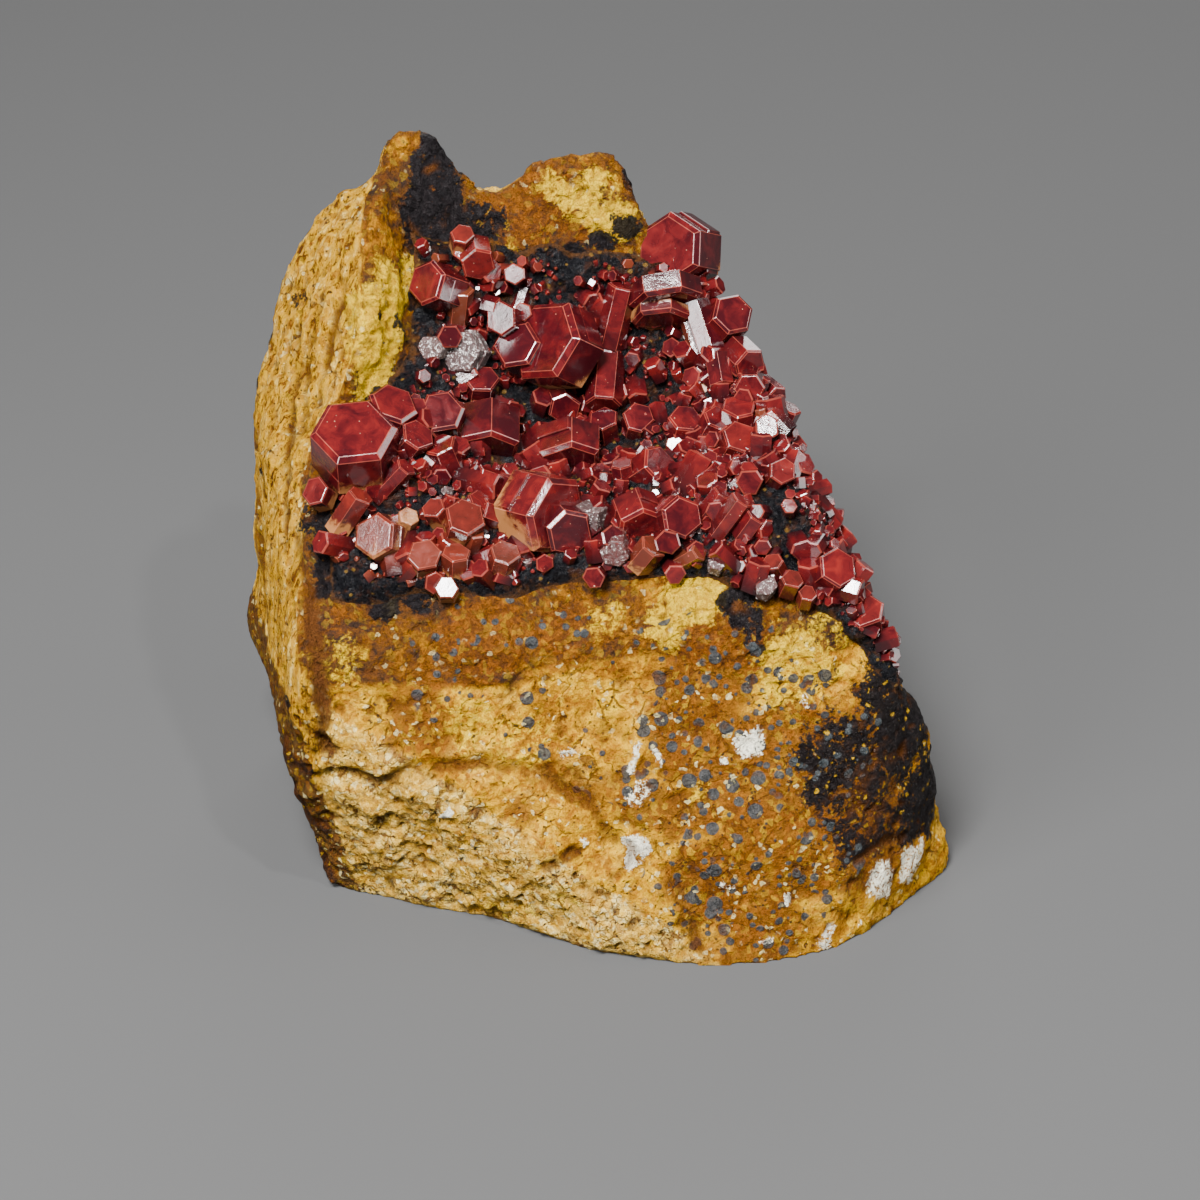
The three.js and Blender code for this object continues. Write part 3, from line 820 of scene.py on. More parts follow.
def rock_stains(f, r, colour):
    """Brown, yellow and black films over the rock, and painted shade on the face that leans under."""
    brown = f.mix(r.fine.between(0.44, 0.64), "brown", "brown orange")
    brown_here = r.mark["brown"].most(r.mark["dark"] * 0.8)
    browned = (brown_here + (r.middle - 0.5) * 1.3 + (r.fine - 0.5) * 0.8).between(0.25, 0.75)
    colour = f.mix(browned * 0.88, colour, brown)
    yellow = f.mix(r.fine.between(0.4, 0.6), "yellow", "yellow pale")
    colour = f.mix(r.edged("yellow", 0.35, 0.75, 1.6) * 0.85, colour, yellow)
    black = f.mix(r.fine.between(0.42, 0.66), "black", "soot")
    colour = f.mix(r.darkness * 0.98, colour, black)
    # Painted shade: the face that leans down is darkened
    under = f.mix(r.fine.between(0.4, 0.6), "brown black", "brown")
    return f.mix(r.edged("under", 0.4, 0.7, 0.8) * 0.92, colour, under)


def slate_spots(f, r, grain, widest, amount):
    """Where round spots lie, one in some of the cells."""
    pick, size = f.chances(r.at, grain)
    reach = f.cells(r.at, grain) + (r.fine - 0.5) * 0.12
    radius = (size * 0.6 + 0.4) * widest
    return (radius - reach).between(0.0, 0.05) * (r.mark["dots"] * amount - pick).between(0.0, 0.02)


def limonite():
    f = Finish("limonite")
    r = Rock(f)
    fine, middle, mark = r.fine, r.middle, r.mark
    colour, crumb_edge = rock_ground(f, r)
    colour = rock_stains(f, r, colour)

    # Grains of the rock, and painted shade in the fine cracks between them
    _, grain = f.chances(r.bent, 0.45)
    open_rock = 1 - r.darkness.most(mark["hollow"] * 0.5)
    colour = f.mix(((0.40 - grain) * 1.5).clamped() * open_rock, colour, "brown orange")
    colour = f.mix(((grain - 0.75) * 2.0).clamped() * open_rock * 0.6, colour, "ochre pale")
    gap = f.cells(r.bent, 1.9, feature="DISTANCE_TO_EDGE")
    crack = (0.05 - gap + (middle - 0.56) * 0.5).between(0.0, 0.05)
    colour = f.mix(crack * 0.8 * open_rock, colour, "brown")

    # Round slate-coloured spots, large and small
    slate = f.mix(fine.between(0.4, 0.6), "slate", "slate light")
    spotty = slate_spots(f, r, 1.5, 0.46, 1.0).most(slate_spots(f, r, 0.95, 0.4, 0.75))
    colour = f.mix(spotty * 0.94, colour, slate)

    # Black specks, pale crumbs, painted shade along the furrows, gilded crumbs on the black, and painted
    # shade in the low parts and the pits
    peppered = (0.18 - f.cells(r.bent, 0.6) + (middle - 0.5) * 0.6).between(0.0, 0.05)
    colour = f.mix(peppered * (1 - mark["hollow"]) * 0.85, colour, "brown black")
    flake, _ = f.chances(r.bent, 0.36)
    crumbly = (flake - 0.96 + mark["foot"] * 0.06 + (middle - 0.5) * 0.3).between(0.0, 0.04)
    colour = f.mix(crumbly * 0.5 * open_rock, colour, "cream")
    grains = (mark["white"] + (fine - 0.5) * 1.1 + (r.speck - 0.5) * 0.9).between(0.55, 0.75)
    colour = f.mix(grains, colour, "chalk")
    # Painted shade along the furrows
    colour = f.mix(mark["groove"] * 0.85, colour, "brown black")
    gilded = (flake - 0.96 + (middle - 0.5) * 0.6).between(0.0, 0.05) * r.darkness
    colour = f.mix(gilded * 0.7 * (1 - mark["hollow"]), colour, "yellow")
    # Painted shade in the low parts and the pits
    painted_low_shade = (0.5 - mark["raised"] + (fine - 0.5) * 0.4).between(0.08, 0.45)
    colour = f.mix(painted_low_shade.most(mark["pitted"]) * 0.8, colour, "brown")

    glaze = (r.broad + (fine - 0.5) * 0.8).between(0.45, 0.6)
    rough = 0.80 - glaze * 0.25 - r.darkness * 0.3 - spotty * 0.1 - grains * 0.3 + (fine - 0.5) * 0.6
    heights = (
        (fine, 1.1),
        (f.cells(r.bent, 0.6) * -1, 0.16),
        (r.speck, 0.3),
        (crack.most(crumb_edge) * -1, 0.2),
        (r.streak * mark["left"], 1.3),
        (spotty, 0.06),
    )
    relief = None
    for height, reach in heights:
        relief = f.bump(height, reach, 1.0, relief)
    return f.close(Base_Color=colour, Roughness=rough.clamped(), Normal=relief, Specular_IOR_Level=0.08)


# The crystals


def turn_to(axis, turn):
    """The crystal's axes from its long axis as seen (right, up, towards the viewer) and its turn."""
    right, up, towards = axis
    long_axis = IMAGE_RIGHT * right + IMAGE_UP * up - INTO_PHOTO * towards
    long_axis = long_axis / np.linalg.norm(long_axis)
    side = np.cross(INTO_PHOTO, long_axis)
    side = side / np.linalg.norm(side)
    across = np.cross(side, long_axis)
    basis = Matrix((side, long_axis, across)).transposed()
    return basis @ Matrix.Rotation(math.radians(turn), 3, "Y")


def crystal_place(pixel, across):
    """Where a crystal's middle is: on the pixel's ray, off the rock, or nearer to it where the ray misses."""
    gap, point, ray = seat(pixel)
    lift = max(0.0, STAND_OFF + STAND_OFF_SHARE * across - 2 * max(0.0, gap))
    return point - ray * lift


def hexagon(radius, draw, uneven):
    """Corners of a hexagon whose sides are square to 60 degree directions, at uneven distances."""
    apothem = radius * math.cos(math.pi / 6)
    reach = [apothem * (1 + uneven * draw.uniform(-1, 1)) for _ in range(6)]
    corners = []
    for n in range(6):
        a = math.radians(60 * n + 30)
        b = math.radians(60 * n + 90)
        first, second = reach[n], reach[(n + 1) % 6]
        cross = math.sin(b - a)
        x = (first * math.sin(b) - second * math.sin(a)) / cross
        z = (second * math.cos(a) - first * math.cos(b)) / cross
        corners.append((x, z))
    return corners


# Bevelled edges of a crystal, which carry a painted highlight, in millimetres, and the share of a face that
# is its middle, inside a frame that carries a painted glow
EDGE_BEVEL = 0.006
EDGE_BEVEL_SHARE = 0.008
EDGE_BEVEL_WIDEST = 0.04
FACE_MIDDLE_SHARE = 0.4
# Values at each corner of a crystal; edge is how strongly the painted edge highlight shows
CRYSTAL_LAYERS = ("edge", "rim", "tint", "facet", "foot", "deep", "etched")


def grow_crystal(shape, layers, crystal, draw):
    """Adds one crystal to the bmesh: six sides, a narrow pyramid round its end, and bevelled edges; its
    corners carry a painted edge highlight, rim glow and foot shade.
    """
    across, tall = crystal["across"], crystal["tall"]
    radius, half = across / 2, tall / 2
    cut = crystal["pyramid"] * across
    base = hexagon(radius, draw, crystal["uneven"])
    rows = [(-half, 1.0), (half - PYRAMID_SLOPE * cut, 1.0), (half, 1 - cut / radius)]
    place = Matrix.Translation(Vector(crystal["centre"])) @ crystal["basis"].to_4x4()
    rings = [[shape.verts.new(place @ Vector((x * w, y, z * w)) * MM) for x, z in base] for y, w in rows]
    faces = [shape.faces.new(rings[-1][::-1]), shape.faces.new(rings[0])]
    for low, high in zip(rings, rings[1:]):
        for n in range(6):
            m = (n + 1) % 6
            faces.append(shape.faces.new((low[n], high[n], high[m], low[m])))
    bmesh.ops.recalc_face_normals(shape, faces=faces)
    worn = bmesh.ops.bevel(
        shape,
        geom=list(dict.fromkeys(edge for face in faces for edge in face.edges)),
        offset=min(EDGE_BEVEL_WIDEST, EDGE_BEVEL_SHARE * across + EDGE_BEVEL) * MM,
        offset_type="OFFSET",
        segments=1,
        profile=0.5,
        affect="EDGES",
        clamp_overlap=True,
    )
    highlit_bevel_faces = set(worn["faces"])
    axis = place.to_3x3() @ Vector((0, 1, 0))
    for face in [face for face in shape.faces if face[layers["done"]] == 0]:
        shade = draw.uniform(-1, 1)
        edge = crystal["worn"] if face in highlit_bevel_faces else 0.0
        for part in [face] if face in highlit_bevel_faces else framed_face(shape, face):
            part[layers["done"]] = 1
            part.smooth = False
            for loop in part.loops:
                spot = loop.vert.co / MM - place.translation
                along = spot.dot(axis) / half
                low = -0.6 * spot.z / radius - 0.4 * along
                clay = 1.6 * crystal["dusty"] + 0.8 * low if crystal["dusty"] > 0 else 0.0
                # Painted highlight on the bevel faces
                loop[layers["edge"]] = edge
                # Painted glow: each face lighter towards its rim
                loop[layers["rim"]] = 0.0 if loop.vert.tag else 1.0
                loop[layers["tint"]] = crystal["tint"]
                loop[layers["facet"]] = shade
                loop[layers["foot"]] = min(1.0, max(0.0, clay))
                # Painted shade: darker towards the crystal's foot
                loop[layers["deep"]] = min(1.0, max(0.0, 0.25 - 0.45 * along))
                loop[layers["etched"]] = crystal["etched"]


def framed_face(shape, face):
    """Splits a flat face into a middle, scaled about its centre, and a frame; tags the middle's points."""
    middle = face.calc_center_median()
    outer = list(face.verts)
    inner = [shape.verts.new(middle.lerp(vert.co, FACE_MIDDLE_SHARE)) for vert in outer]
    for vert in inner:
        vert.tag = True
    count = len(outer)
    parts = [shape.faces.new(inner)]
    for n in range(count):
        m = (n + 1) % count
        parts.append(shape.faces.new((outer[n], outer[m], inner[m], inner[n])))
    shape.faces.remove(face)
    return parts


# The crystals that stand out of the druse, as rows of: pixel of its middle in the photograph, millimetres
# across its corners and along it, its long axis as seen (right, up, towards the viewer), its turn about
# that axis in degrees, how bright a red it is, how much of its foot is clouded with clay, and how etched.
CRYSTAL_GROUPS = {
    "front_crystal": [
        ((540, 512), 7, 3.9, (0.74, -0.2, 0.64), 38, 0.42, 0.45, 0),
        ((565, 528), 4.2, 2.9, (0.35, -0.35, 0.87), 0, 0.2, 0.1, 0.1),
    ],
    "big_upper_crystal": [
        ((555, 346), 7.5, 3.6, (-0.62, 0.25, 0.74), -13, 0.34, 0.1, 0),
        ((523, 350), 4.4, 3.2, (-0.4, 0.3, 0.86), 10, 0.28, 0.0, 0),
    ],
    "big_left_crystal": [
        ((355, 446), 7, 4.2, (0, 0.6, 0.8), 8, 0.4, 0.05, 0),
        ((390, 414), 4.2, 3, (0.3, 0.6, 0.74), 10, 0.3, 0.0, 0),
    ],
    "centre_crystal": [((569, 451), 5.9, 2.8, (0, -0.84, 0.54), 30, 0.34, 0.0, 0)],
    "left_block_crystal": [((487, 433), 5.5, 3.5, (0, -0.87, 0.48), 22, 0.3, 0.0, 0)],
    "top_right_crystal": [((678, 252), 6.5, 4, (-0.5, 0.02, 0.86), 0, 0.3, 0.1, 0)],
    "stacked_plates": [
        ((666, 293), 6.2, 1.8, (0.13, -0.95, 0.26), 4, 0.42, 0.2, 0),
        ((660, 316), 5, 1.1, (0.05, -0.94, 0.3), 10, 0.5, 0.45, 0),
    ],
    "long_prism": [
        ((705, 334), 2.5, 5.6, (0.3, -0.93, 0.15), 20, 0.4, 0, 0),
        ((719, 371), 2.2, 2.8, (0.15, -0.93, 0.3), 30, 0.45, 0, 0),
        ((699, 361), 1.3, 6.8, (0.27, -0.95, 0.1), 0, 0.75, 0.5, 0),
    ],
    "lilac_prisms": [
        ((605, 381), 3.2, 4.6, (-0.08, -0.9, 0.42), 0, 0.42, 0, 0),
        ((616, 316), 2.6, 5.3, (0.22, 0.92, 0.3), 0, 0.3, 0, 0),
    ],
    "paired_hexagons": [
        ((637, 517), 4.1, 2.7, (0.25, -0.68, 0.68), 10, 0.5, 0, 0),
        ((676, 518), 3.7, 3.2, (0.3, 0.05, 0.95), 0, 0.4, 0, 0),
    ],
    "rim_crystals": [
        ((728, 320), 3.7, 3, (0.3, 0.3, 0.9), 0, 0.42, 0, 0),
        ((743, 357), 3, 2.7, (0.45, -0.5, 0.74), 10, 0.4, 0, 0),
        ((750, 385), 2.7, 2.4, (-0.1, -0.3, 0.95), 20, 0.36, 0, 0),
        ((768, 391), 2.1, 2.5, (0.55, -0.5, 0.67), 0, 0.5, 0, 0),
    ],
    "edge_crystals": [
        ((832, 572), 3.5, 2.7, (0.35, 0.3, 0.88), 20, 0.5, 0, 0),
        ((850, 592), 3.5, 1, (-0.25, 0.94, 0.22), 0, 0.6, 0, 0),
        ((864, 619), 3.5, 3.2, (-0.1, 0.5, 0.86), 10, 0.55, 0, 0),
        ((839, 546), 2.1, 1.2, (0.1, 0.9, 0.4), 0, 0.55, 0, 0),
        ((826, 531), 2.2, 2.4, (0.2, 0.5, 0.84), 0, 0.5, 0, 0),
    ],
}

# Smaller crystals of the druse, in the same order of values
DRUSE_CRYSTALS = [
    ((562, 402), 3, 2.7, (0.2, -0.5, 0.84), 0, 0.2, 0, 0),
    ((624, 480), 2.1, 3.2, (-0.12, 0.85, 0.5), 20, 0.4, 0, 0),
    ((653, 471), 3.5, 2.7, (0.55, 0.35, 0.75), 15, 0.5, 0, 0),
    ((411, 444), 3, 2.7, (0.45, 0.5, 0.74), 10, 0.4, 0, 0.1),
    ((441, 419), 3.8, 3.5, (0, 0.35, 0.93), 10, 0.18, 0.3, 0),
    ((392, 482), 1.9, 4, (0.62, 0.62, 0.48), 10, 0.45, 0, 0),
    ((349, 513), 2.2, 4, (0.52, 0.72, 0.45), 30, 0.6, 0.2, 0),
    ((381, 536), 3.7, 2.4, (-0.42, 0.1, 0.9), 10, 0.66, 0.5, 0.15),
    ((494, 486), 2.7, 3.4, (-0.9, 0.28, 0.33), 15, 0.5, 0, 0),
    ((496, 516), 2.3, 2.9, (-0.85, 0.3, 0.45), 10, 0.55, 0.2, 0),
    ((438, 288), 3.9, 3.5, (-0.55, 0.15, 0.82), 0, 0.5, 0, 0),
    ((459, 306), 2.2, 3.3, (0.12, 0.8, 0.58), 10, 0.8, 0, 0),
    ((464, 351), 3.8, 2.7, (-0.3, -0.05, 0.95), 20, 0.3, 0, 1),
    ((711, 506), 1.6, 3.2, (0.55, 0.72, 0.42), 20, 0.5, 0, 0),
    ((729, 517), 1.9, 3.8, (0.55, 0.75, 0.36), 10, 0.55, 0, 0),
    ((616, 547), 2.5, 2.4, (-0.1, -0.5, 0.86), 0, 0.5, 0, 0.6),
    ((645, 556), 2.4, 2.6, (0.5, 0.6, 0.62), 0, 0.7, 0.1, 0),
    ((446, 459), 2.8, 3.2, (-0.3, 0.75, 0.6), 10, 0.3, 0, 0),
    ((320, 494), 2.4, 2.1, (-0.35, 0.25, 0.9), 15, 0.55, 0.3, 0),
    ((462, 525), 3.4, 2.7, (0.2, 0.5, 0.84), 0, 0.62, 0.4, 0),
    ((474, 510), 2.4, 2.4, (0.5, 0.6, 0.6), 20, 0.55, 0.3, 0),
    ((438, 515), 2.1, 2.4, (-0.3, 0.5, 0.8), 20, 0.6, 0.4, 0),
    ((424, 560), 2.9, 2.3, (0.05, 0.35, 0.93), 20, 0.68, 0.4, 0),
    ((456, 565), 2.4, 2.8, (0.05, 0.7, 0.7), 20, 0.66, 0.3, 0),
    ((447, 590), 2, 2, (0, 0.2, 0.97), 0, 0.75, 0.4, 0),
    ((502, 562), 2.6, 2.7, (0.2, 0.6, 0.78), 0, 0.66, 0.3, 0.2),
    ((477, 257), 3.1, 2.4, (0.15, -0.6, 0.78), 30, 0.55, 0.1, 0),
    ((461, 242), 2.1, 2.4, (0.1, 0.5, 0.86), 0, 0.6, 0.5, 0),
    ((506, 319), 3, 2.6, (-0.35, 0.05, 0.93), 10, 0.4, 0, 0),
    ((481, 388), 3, 2.4, (0.1, 0.6, 0.8), 10, 0.2, 0.1, 0),
    ((605, 429), 2.7, 2.9, (-0.1, 0.6, 0.8), 20, 0.35, 0, 0),
    ((637, 423), 2.9, 2.4, (0.1, 0.4, 0.9), 0, 0.4, 0, 0),
    ((683, 427), 3, 2.4, (0.15, 0.65, 0.75), 10, 0.5, 0, 0),
    ((715, 427), 2.7, 2.3, (0.35, 0.6, 0.72), 10, 0.5, 0, 0),
    ((738, 443), 3, 2.4, (0.2, 0.4, 0.9), 10, 0.55, 0, 0),
    ((739, 414), 3, 1.8, (0, 0.75, 0.66), 20, 0.5, 0, 0),
    ((783, 422), 2.2, 3, (0.4, 0.8, 0.45), 10, 0.55, 0, 0),
    ((790, 450), 2.2, 2, (0.4, 0.3, 0.87), 0, 0.55, 0, 0),
    ((780, 475), 2.4, 2.1, (0.2, 0.3, 0.93), 0, 0.55, 0, 0),
    ((802, 482), 2.2, 2, (0.5, 0.3, 0.8), 15, 0.5, 0, 0),
    ((434, 348), 2.2, 1.9, (-0.3, -0.1, 0.95), 10, 0.7, 0.4, 0.9),
    ((765, 430), 1.0, 3.6, (-0.2, 0.95, 0.2), 10, 0.85, 0.5, 0),
    ((590, 520), 2.6, 2.6, (0.1, 0.9, 0.4), 0, 0.05, 0, 0.8),
    ((806, 480), 1.6, 1.6, (0.4, 0.3, 0.8), 0, 0.5, 0, 0),
    ((748, 475), 1.5, 1.8, (0.1, 0.6, 0.8), 10, 0.5, 0, 0),
    ((723, 475), 1.4, 1.6, (0.2, 0.7, 0.7), 10, 0.5, 0, 0),
    ((700, 465), 1.6, 1.6, (-0.2, 0.6, 0.8), 10, 0.45, 0, 0),
    ((686, 457), 1.5, 1.6, (0.3, 0.5, 0.8), 10, 0.4, 0, 0),
    ((770, 465), 1.5, 1.6, (-0.3, 0.5, 0.8), 10, 0.5, 0, 0),
    ((750, 527), 2.0, 2.4, (0.5, 0.7, 0.4), 10, 0.5, 0, 0),
    ((790, 585), 1.9, 2.0, (0.2, 0.5, 0.8), 10, 0.6, 0, 0),
    ((775, 568), 1.8, 2.0, (-0.3, 0.5, 0.8), 30, 0.6, 0, 0),
    ((765, 587), 2.0, 1.4, (0.1, 0.4, 0.9), 0, 0.5, 0, 0.9),
    ((717, 565), 1.5, 1.2, (0.1, 0.4, 0.9), 0, 0.5, 0, 0.9),
    ((690, 556), 1.8, 2.2, (0.7, 0.4, 0.6), 0, 0.8, 0.1, 0),
    ((806, 598), 1.6, 1.6, (0.1, 0.5, 0.8), 0, 0.6, 0, 0),
    ((408, 520), 1.8, 1.4, (0.2, 0.5, 0.8), 0, 0.9, 0.9, 0.3),
]


# Large crystals, which have a growth shelf, and the shares of a crystal's width that its pyramid cuts
LARGE_FROM = 3.6
LARGE_PYRAMID = 0.07
SMALL_PYRAMID = 0.055
SHELF_NEEDS_TALL = 2
SHELF_REACH = (0.4, 0.55)
SHELF_SWELL = (1.006, 1.018)
SHELF_PYRAMID = 0.012
SHELF_BEVEL_HIGHLIGHT = 0.25


def crystals_of(rows, draw, uneven):
    """The crystals of the rows, each large one with a slightly wider growth shelf round its lower part."""
    made = []
    for pixel, across, tall, axis, turn, tint, dusty, etched in rows:
        large = across > LARGE_FROM
        crystal = {
            "centre": crystal_place(pixel, across),
            "basis": turn_to(axis, turn),
            "across": across,
            "tall": tall,
            "uneven": uneven,
            "pyramid": LARGE_PYRAMID if large else SMALL_PYRAMID,
            "tint": tint,
            "dusty": dusty,
            "etched": etched,
            "worn": 1.0,
        }
        made.append(crystal)
        if large and tall > SHELF_NEEDS_TALL:
            height = tall * draw.uniform(*SHELF_REACH)
            up = np.array(crystal["basis"] @ Vector((0, 1, 0)))
            made.append(
                {
                    **crystal,
                    "centre": crystal["centre"] + up * (height - tall) / 2,
                    "across": across * draw.uniform(*SHELF_SWELL),
                    "tall": height,
                    "pyramid": SHELF_PYRAMID,
                    "worn": SHELF_BEVEL_HIGHLIGHT,
                }
            )
    return made


def crystal_piece(name, crystals, draw):
    shape = bmesh.new()
    layers = {key: shape.loops.layers.float.new(key) for key in CRYSTAL_LAYERS}
    layers["done"] = shape.faces.layers.int.new("done")
    for crystal in crystals:
        grow_crystal(shape, layers, crystal, draw)
    shape.faces.layers.int.remove(layers["done"])
    mesh = bpy.data.meshes.new(name)
    shape.to_mesh(mesh)
    shape.free()
    return linked(name, mesh)


def vanadinite():
    f = Finish("vanadinite_red")
    at = f.place()
    edge, rim, tint, facet, foot, deep, etched = (f.attribute(key) for key in CRYSTAL_LAYERS)
    cloud = f.noise(at, 1.5, 5.0, 0.6, 0.8)
    fine = f.noise(at, 0.3, 5.0, 0.65)
    tiny = f.noise(at, 0.09, 3.0, 0.6)

    # Painted glow: face rims a little lighter red; tint, cloud and facet are the crystals' own tones
    red_tone_and_rim_glow = (rim * 0.25 + (cloud - 0.5) * 1.3 + tint * 0.55 + facet * 0.14 - 0.05).clamped()
    colour = f.ramp(red_tone_and_rim_glow, [(0.0, "maroon"), (0.35, "red"), (0.75, "red bright"), (1.0, "orange red")])
    colour = f.mix(tint.between(0.5, 0.8) * 0.8, colour, "amber")
    # Painted shade, darker towards each crystal's foot
    colour = f.mix(deep * 0.8, colour, "painted shade garnet")
    clouded = (foot + (cloud - 0.5) * 0.9 + (fine - 0.5) * 0.3).between(0.5, 0.85)
    colour = f.mix(clouded * 0.7, colour, "clay")
    dusted = (0.07 - f.cells(at, 0.7) + (cloud - 0.5) * 0.15).between(0.0, 0.04)
    colour = f.mix(dusted * 0.6, colour, "dust")
    # Painted highlight along the bevelled edges
    colour = f.mix(edge * (cloud + 0.1).clamped() * 0.7, colour, "edge")
    pocked = (etched * 1.2 + (fine - 0.5) * 1.2 - 0.3).between(0.1, 0.5)
    colour = f.mix(pocked * 0.75, colour, "pewter")
    # Painted glints: silver-white specks on etched crystals
    painted_glints = (etched * 0.3 + (tiny - 0.5) * 1.6 + (fine - 0.5) * 1.6 - 0.44).between(0.0, 0.12)
    colour = f.mix(painted_glints * (etched * 2 + 0.04).clamped(), colour, "painted glint silver")

    relief = f.bump(cloud, 0.06, 0.5)
    relief = f.bump(fine * (etched * 4 + 0.02), 0.09, 1.0, relief)
    relief = f.bump(tiny * (clouded + 0.2), 0.03, 0.6, relief)
    rough = 0.12 + clouded * 0.3 + dusted * 0.4 + edge * 0.1 + pocked * 0.2 + (cloud - 0.5) * 0.25
    return f.close(
        Base_Color=colour,
        Roughness=rough.clamped(),
        Normal=relief,
        IOR=1.6,
        Specular_IOR_Level=0.5,
    )


# The druse's crust of goethite, over the bed of the hollow and down over its rim


def crust_faces(mesh, kept):
    """The mesh's faces whose points are all kept, as arrays of point numbers."""
    loops = np.empty(len(mesh.loops), np.int64)
    mesh.loops.foreach_get("vertex_index", loops)
    starts = np.empty(len(mesh.polygons), np.int64)
    mesh.polygons.foreach_get("loop_start", starts)
    sizes = np.empty(len(mesh.polygons), np.int64)
    mesh.polygons.foreach_get("loop_total", sizes)
    corners = (loops[start : start + size] for start, size in zip(starts, sizes))
    return [face for face in corners if kept[face].all()]


def shell_faces(faces, total):
    """The faces, the same faces on the points total later turned over, and walls between their rims."""
    edges = dict.fromkeys((a, b) for face in faces for a, b in zip(face, np.roll(face, -1)))
    shell = [tuple(face) for face in faces]
    shell += [tuple(face[::-1] + total) for face in faces]
    shell += [(b, a, a + total, b + total) for a, b in edges if (b, a) not in edges]
    return shell


def build_crust(block):
    depth = 0.6
    bed_margin = -1.0
    p = points_of(block.data)
    bed = druse_bed(p + 0.7 * np.stack([roughness(p, 2.2, 90 + n) for n in range(3)], 1))
    faces = crust_faces(block.data, bed > bed_margin)
    used = np.unique(np.concatenate(faces))
    number = np.full(len(p), -1)
    number[used] = np.arange(len(used))
    p, bed = p[used], bed[used]
    outward = outward_at(p, 0.8)
    covered = smooth_step(-0.9, 0.6, bed)
    lumps = 0.5 + 0.5 * layered(p, 2.6, 100, 4, 0.6)
    buds = ridged(p, 1.3, 108, 2)
    chips, _ = broken(p, 1.0, 240)
    height = covered * (0.7 + 1.0 * (lumps - 0.4) + 0.5 * (buds - 0.55) + 0.22 * chips) - 0.35 * (1 - covered)
    top = p + outward * height[:, None]
    shell = shell_faces([number[face] for face in faces], len(p))
    crust = mesh_object("goethite_crust", np.concatenate([top, p - outward * depth]), shell)

    # How thickly crystals grow on the top of the shell, and how warm a red they are
    seen_x, seen_y = seen_at(top)
    crowd = smooth_step(0.1, 0.9, bed) * clear_of(BARE_PATCHES, top)
    rightward = smooth_step(640, 760, seen_x)
    low_left = smooth_step(560, 420, seen_x) * smooth_step(470, 540, seen_y)
    far_back = smooth_step(300, 240, seen_y)
    on_top = {
        "height": np.clip(height, 0, 2),
        "crowd": crowd * (0.6 + 0.4 * rightward),
        "fine_crowd": crowd * (0.5 + 0.5 * rightward),
        "warmth": 0.4 * np.maximum(low_left, far_back),
    }
    nothing = np.zeros(len(p))
    put_attributes(crust.data, {key: np.concatenate([values, nothing]) for key, values in on_top.items()})
    return crust


# Parts of the crust that stay bare and black: pixel of the middle and reach in millimetres
BARE_PATCHES = [
    ((768, 505), 2.2), ((780, 535), 2.2), ((790, 560), 1.8), ((745, 600), 1.6), ((355, 585), 2.4),
    ((395, 605), 2.2), ((320, 560), 1.8), ((430, 612), 1.4), ((520, 600), 1.2), ((560, 596), 1.2),
    ((500, 392), 1.8), ((656, 398), 1.7), ((530, 440), 1.4), ((573, 275), 1.8), ((414, 300), 1.6),
    ((718, 495), 1.2), ((470, 230), 2.4), ((530, 395), 1.8), ((555, 410), 1.5),
]


def clear_of(patches, p):
    """0 in the patches, 1 away from them."""
    clear = np.ones(len(p))
    for pixel, reach in patches:
        _, centre, _ = seat(pixel)
        clear = np.minimum(clear, smooth_step(0.7, 1.1, np.linalg.norm(p - centre, axis=1) / reach))
    return clear


def goethite():
    f = Finish("goethite")
    at = f.place()
    middle = f.noise(at, 1.6, 5.0, 0.6, 0.4)
    fine = f.noise(at, 0.35, 5.0, 0.65)
    speck = f.noise(at, 0.12, 3.0, 0.6)
    height = f.attribute("height")
    black = f.mix(fine.between(0.4, 0.66), "black", "soot")
    colour = f.mix((middle + (fine - 0.5) * 0.7).between(0.5, 0.62) * 0.85, black, "crust brown")
    rusty = (0.2 - f.cells(at, 1.0) + (middle - 0.5) * 0.5).between(0.0, 0.06)
    colour = f.mix(rusty * 0.6, colour, "crust rust")
    edge = (0.45 - height + (fine - 0.5) * 0.9 + (middle - 0.5) * 2.0).between(0.0, 0.4)
    colour = f.mix(edge * 0.4, colour, "ochre dark")
    relief = f.bump(fine, 1.0, 1.0)
    relief = f.bump(speck, 0.3, 1.0, relief)
    return f.close(
        Base_Color=colour,
        Roughness=(0.32 + (fine - 0.5) * 0.6 + edge * 0.3).clamped(),
        Normal=relief,
        Specular_IOR_Level=0.12,
    )


# Small crystals that repeat over the crust


# Seeds, 1 mm across: how tall they are, how far the pyramid cuts in, and the share that is sunk
# Values at each corner of a seed; edge is how strongly the painted edge highlight shows
SEED_LAYERS = ("edge", "rim", "foot", "deep")
SEED_TALLS = (0.8, 1.0, 1.2, 1.5, 0.6)
SEED_CUT = 0.07
SEED_SUNK = 0.35


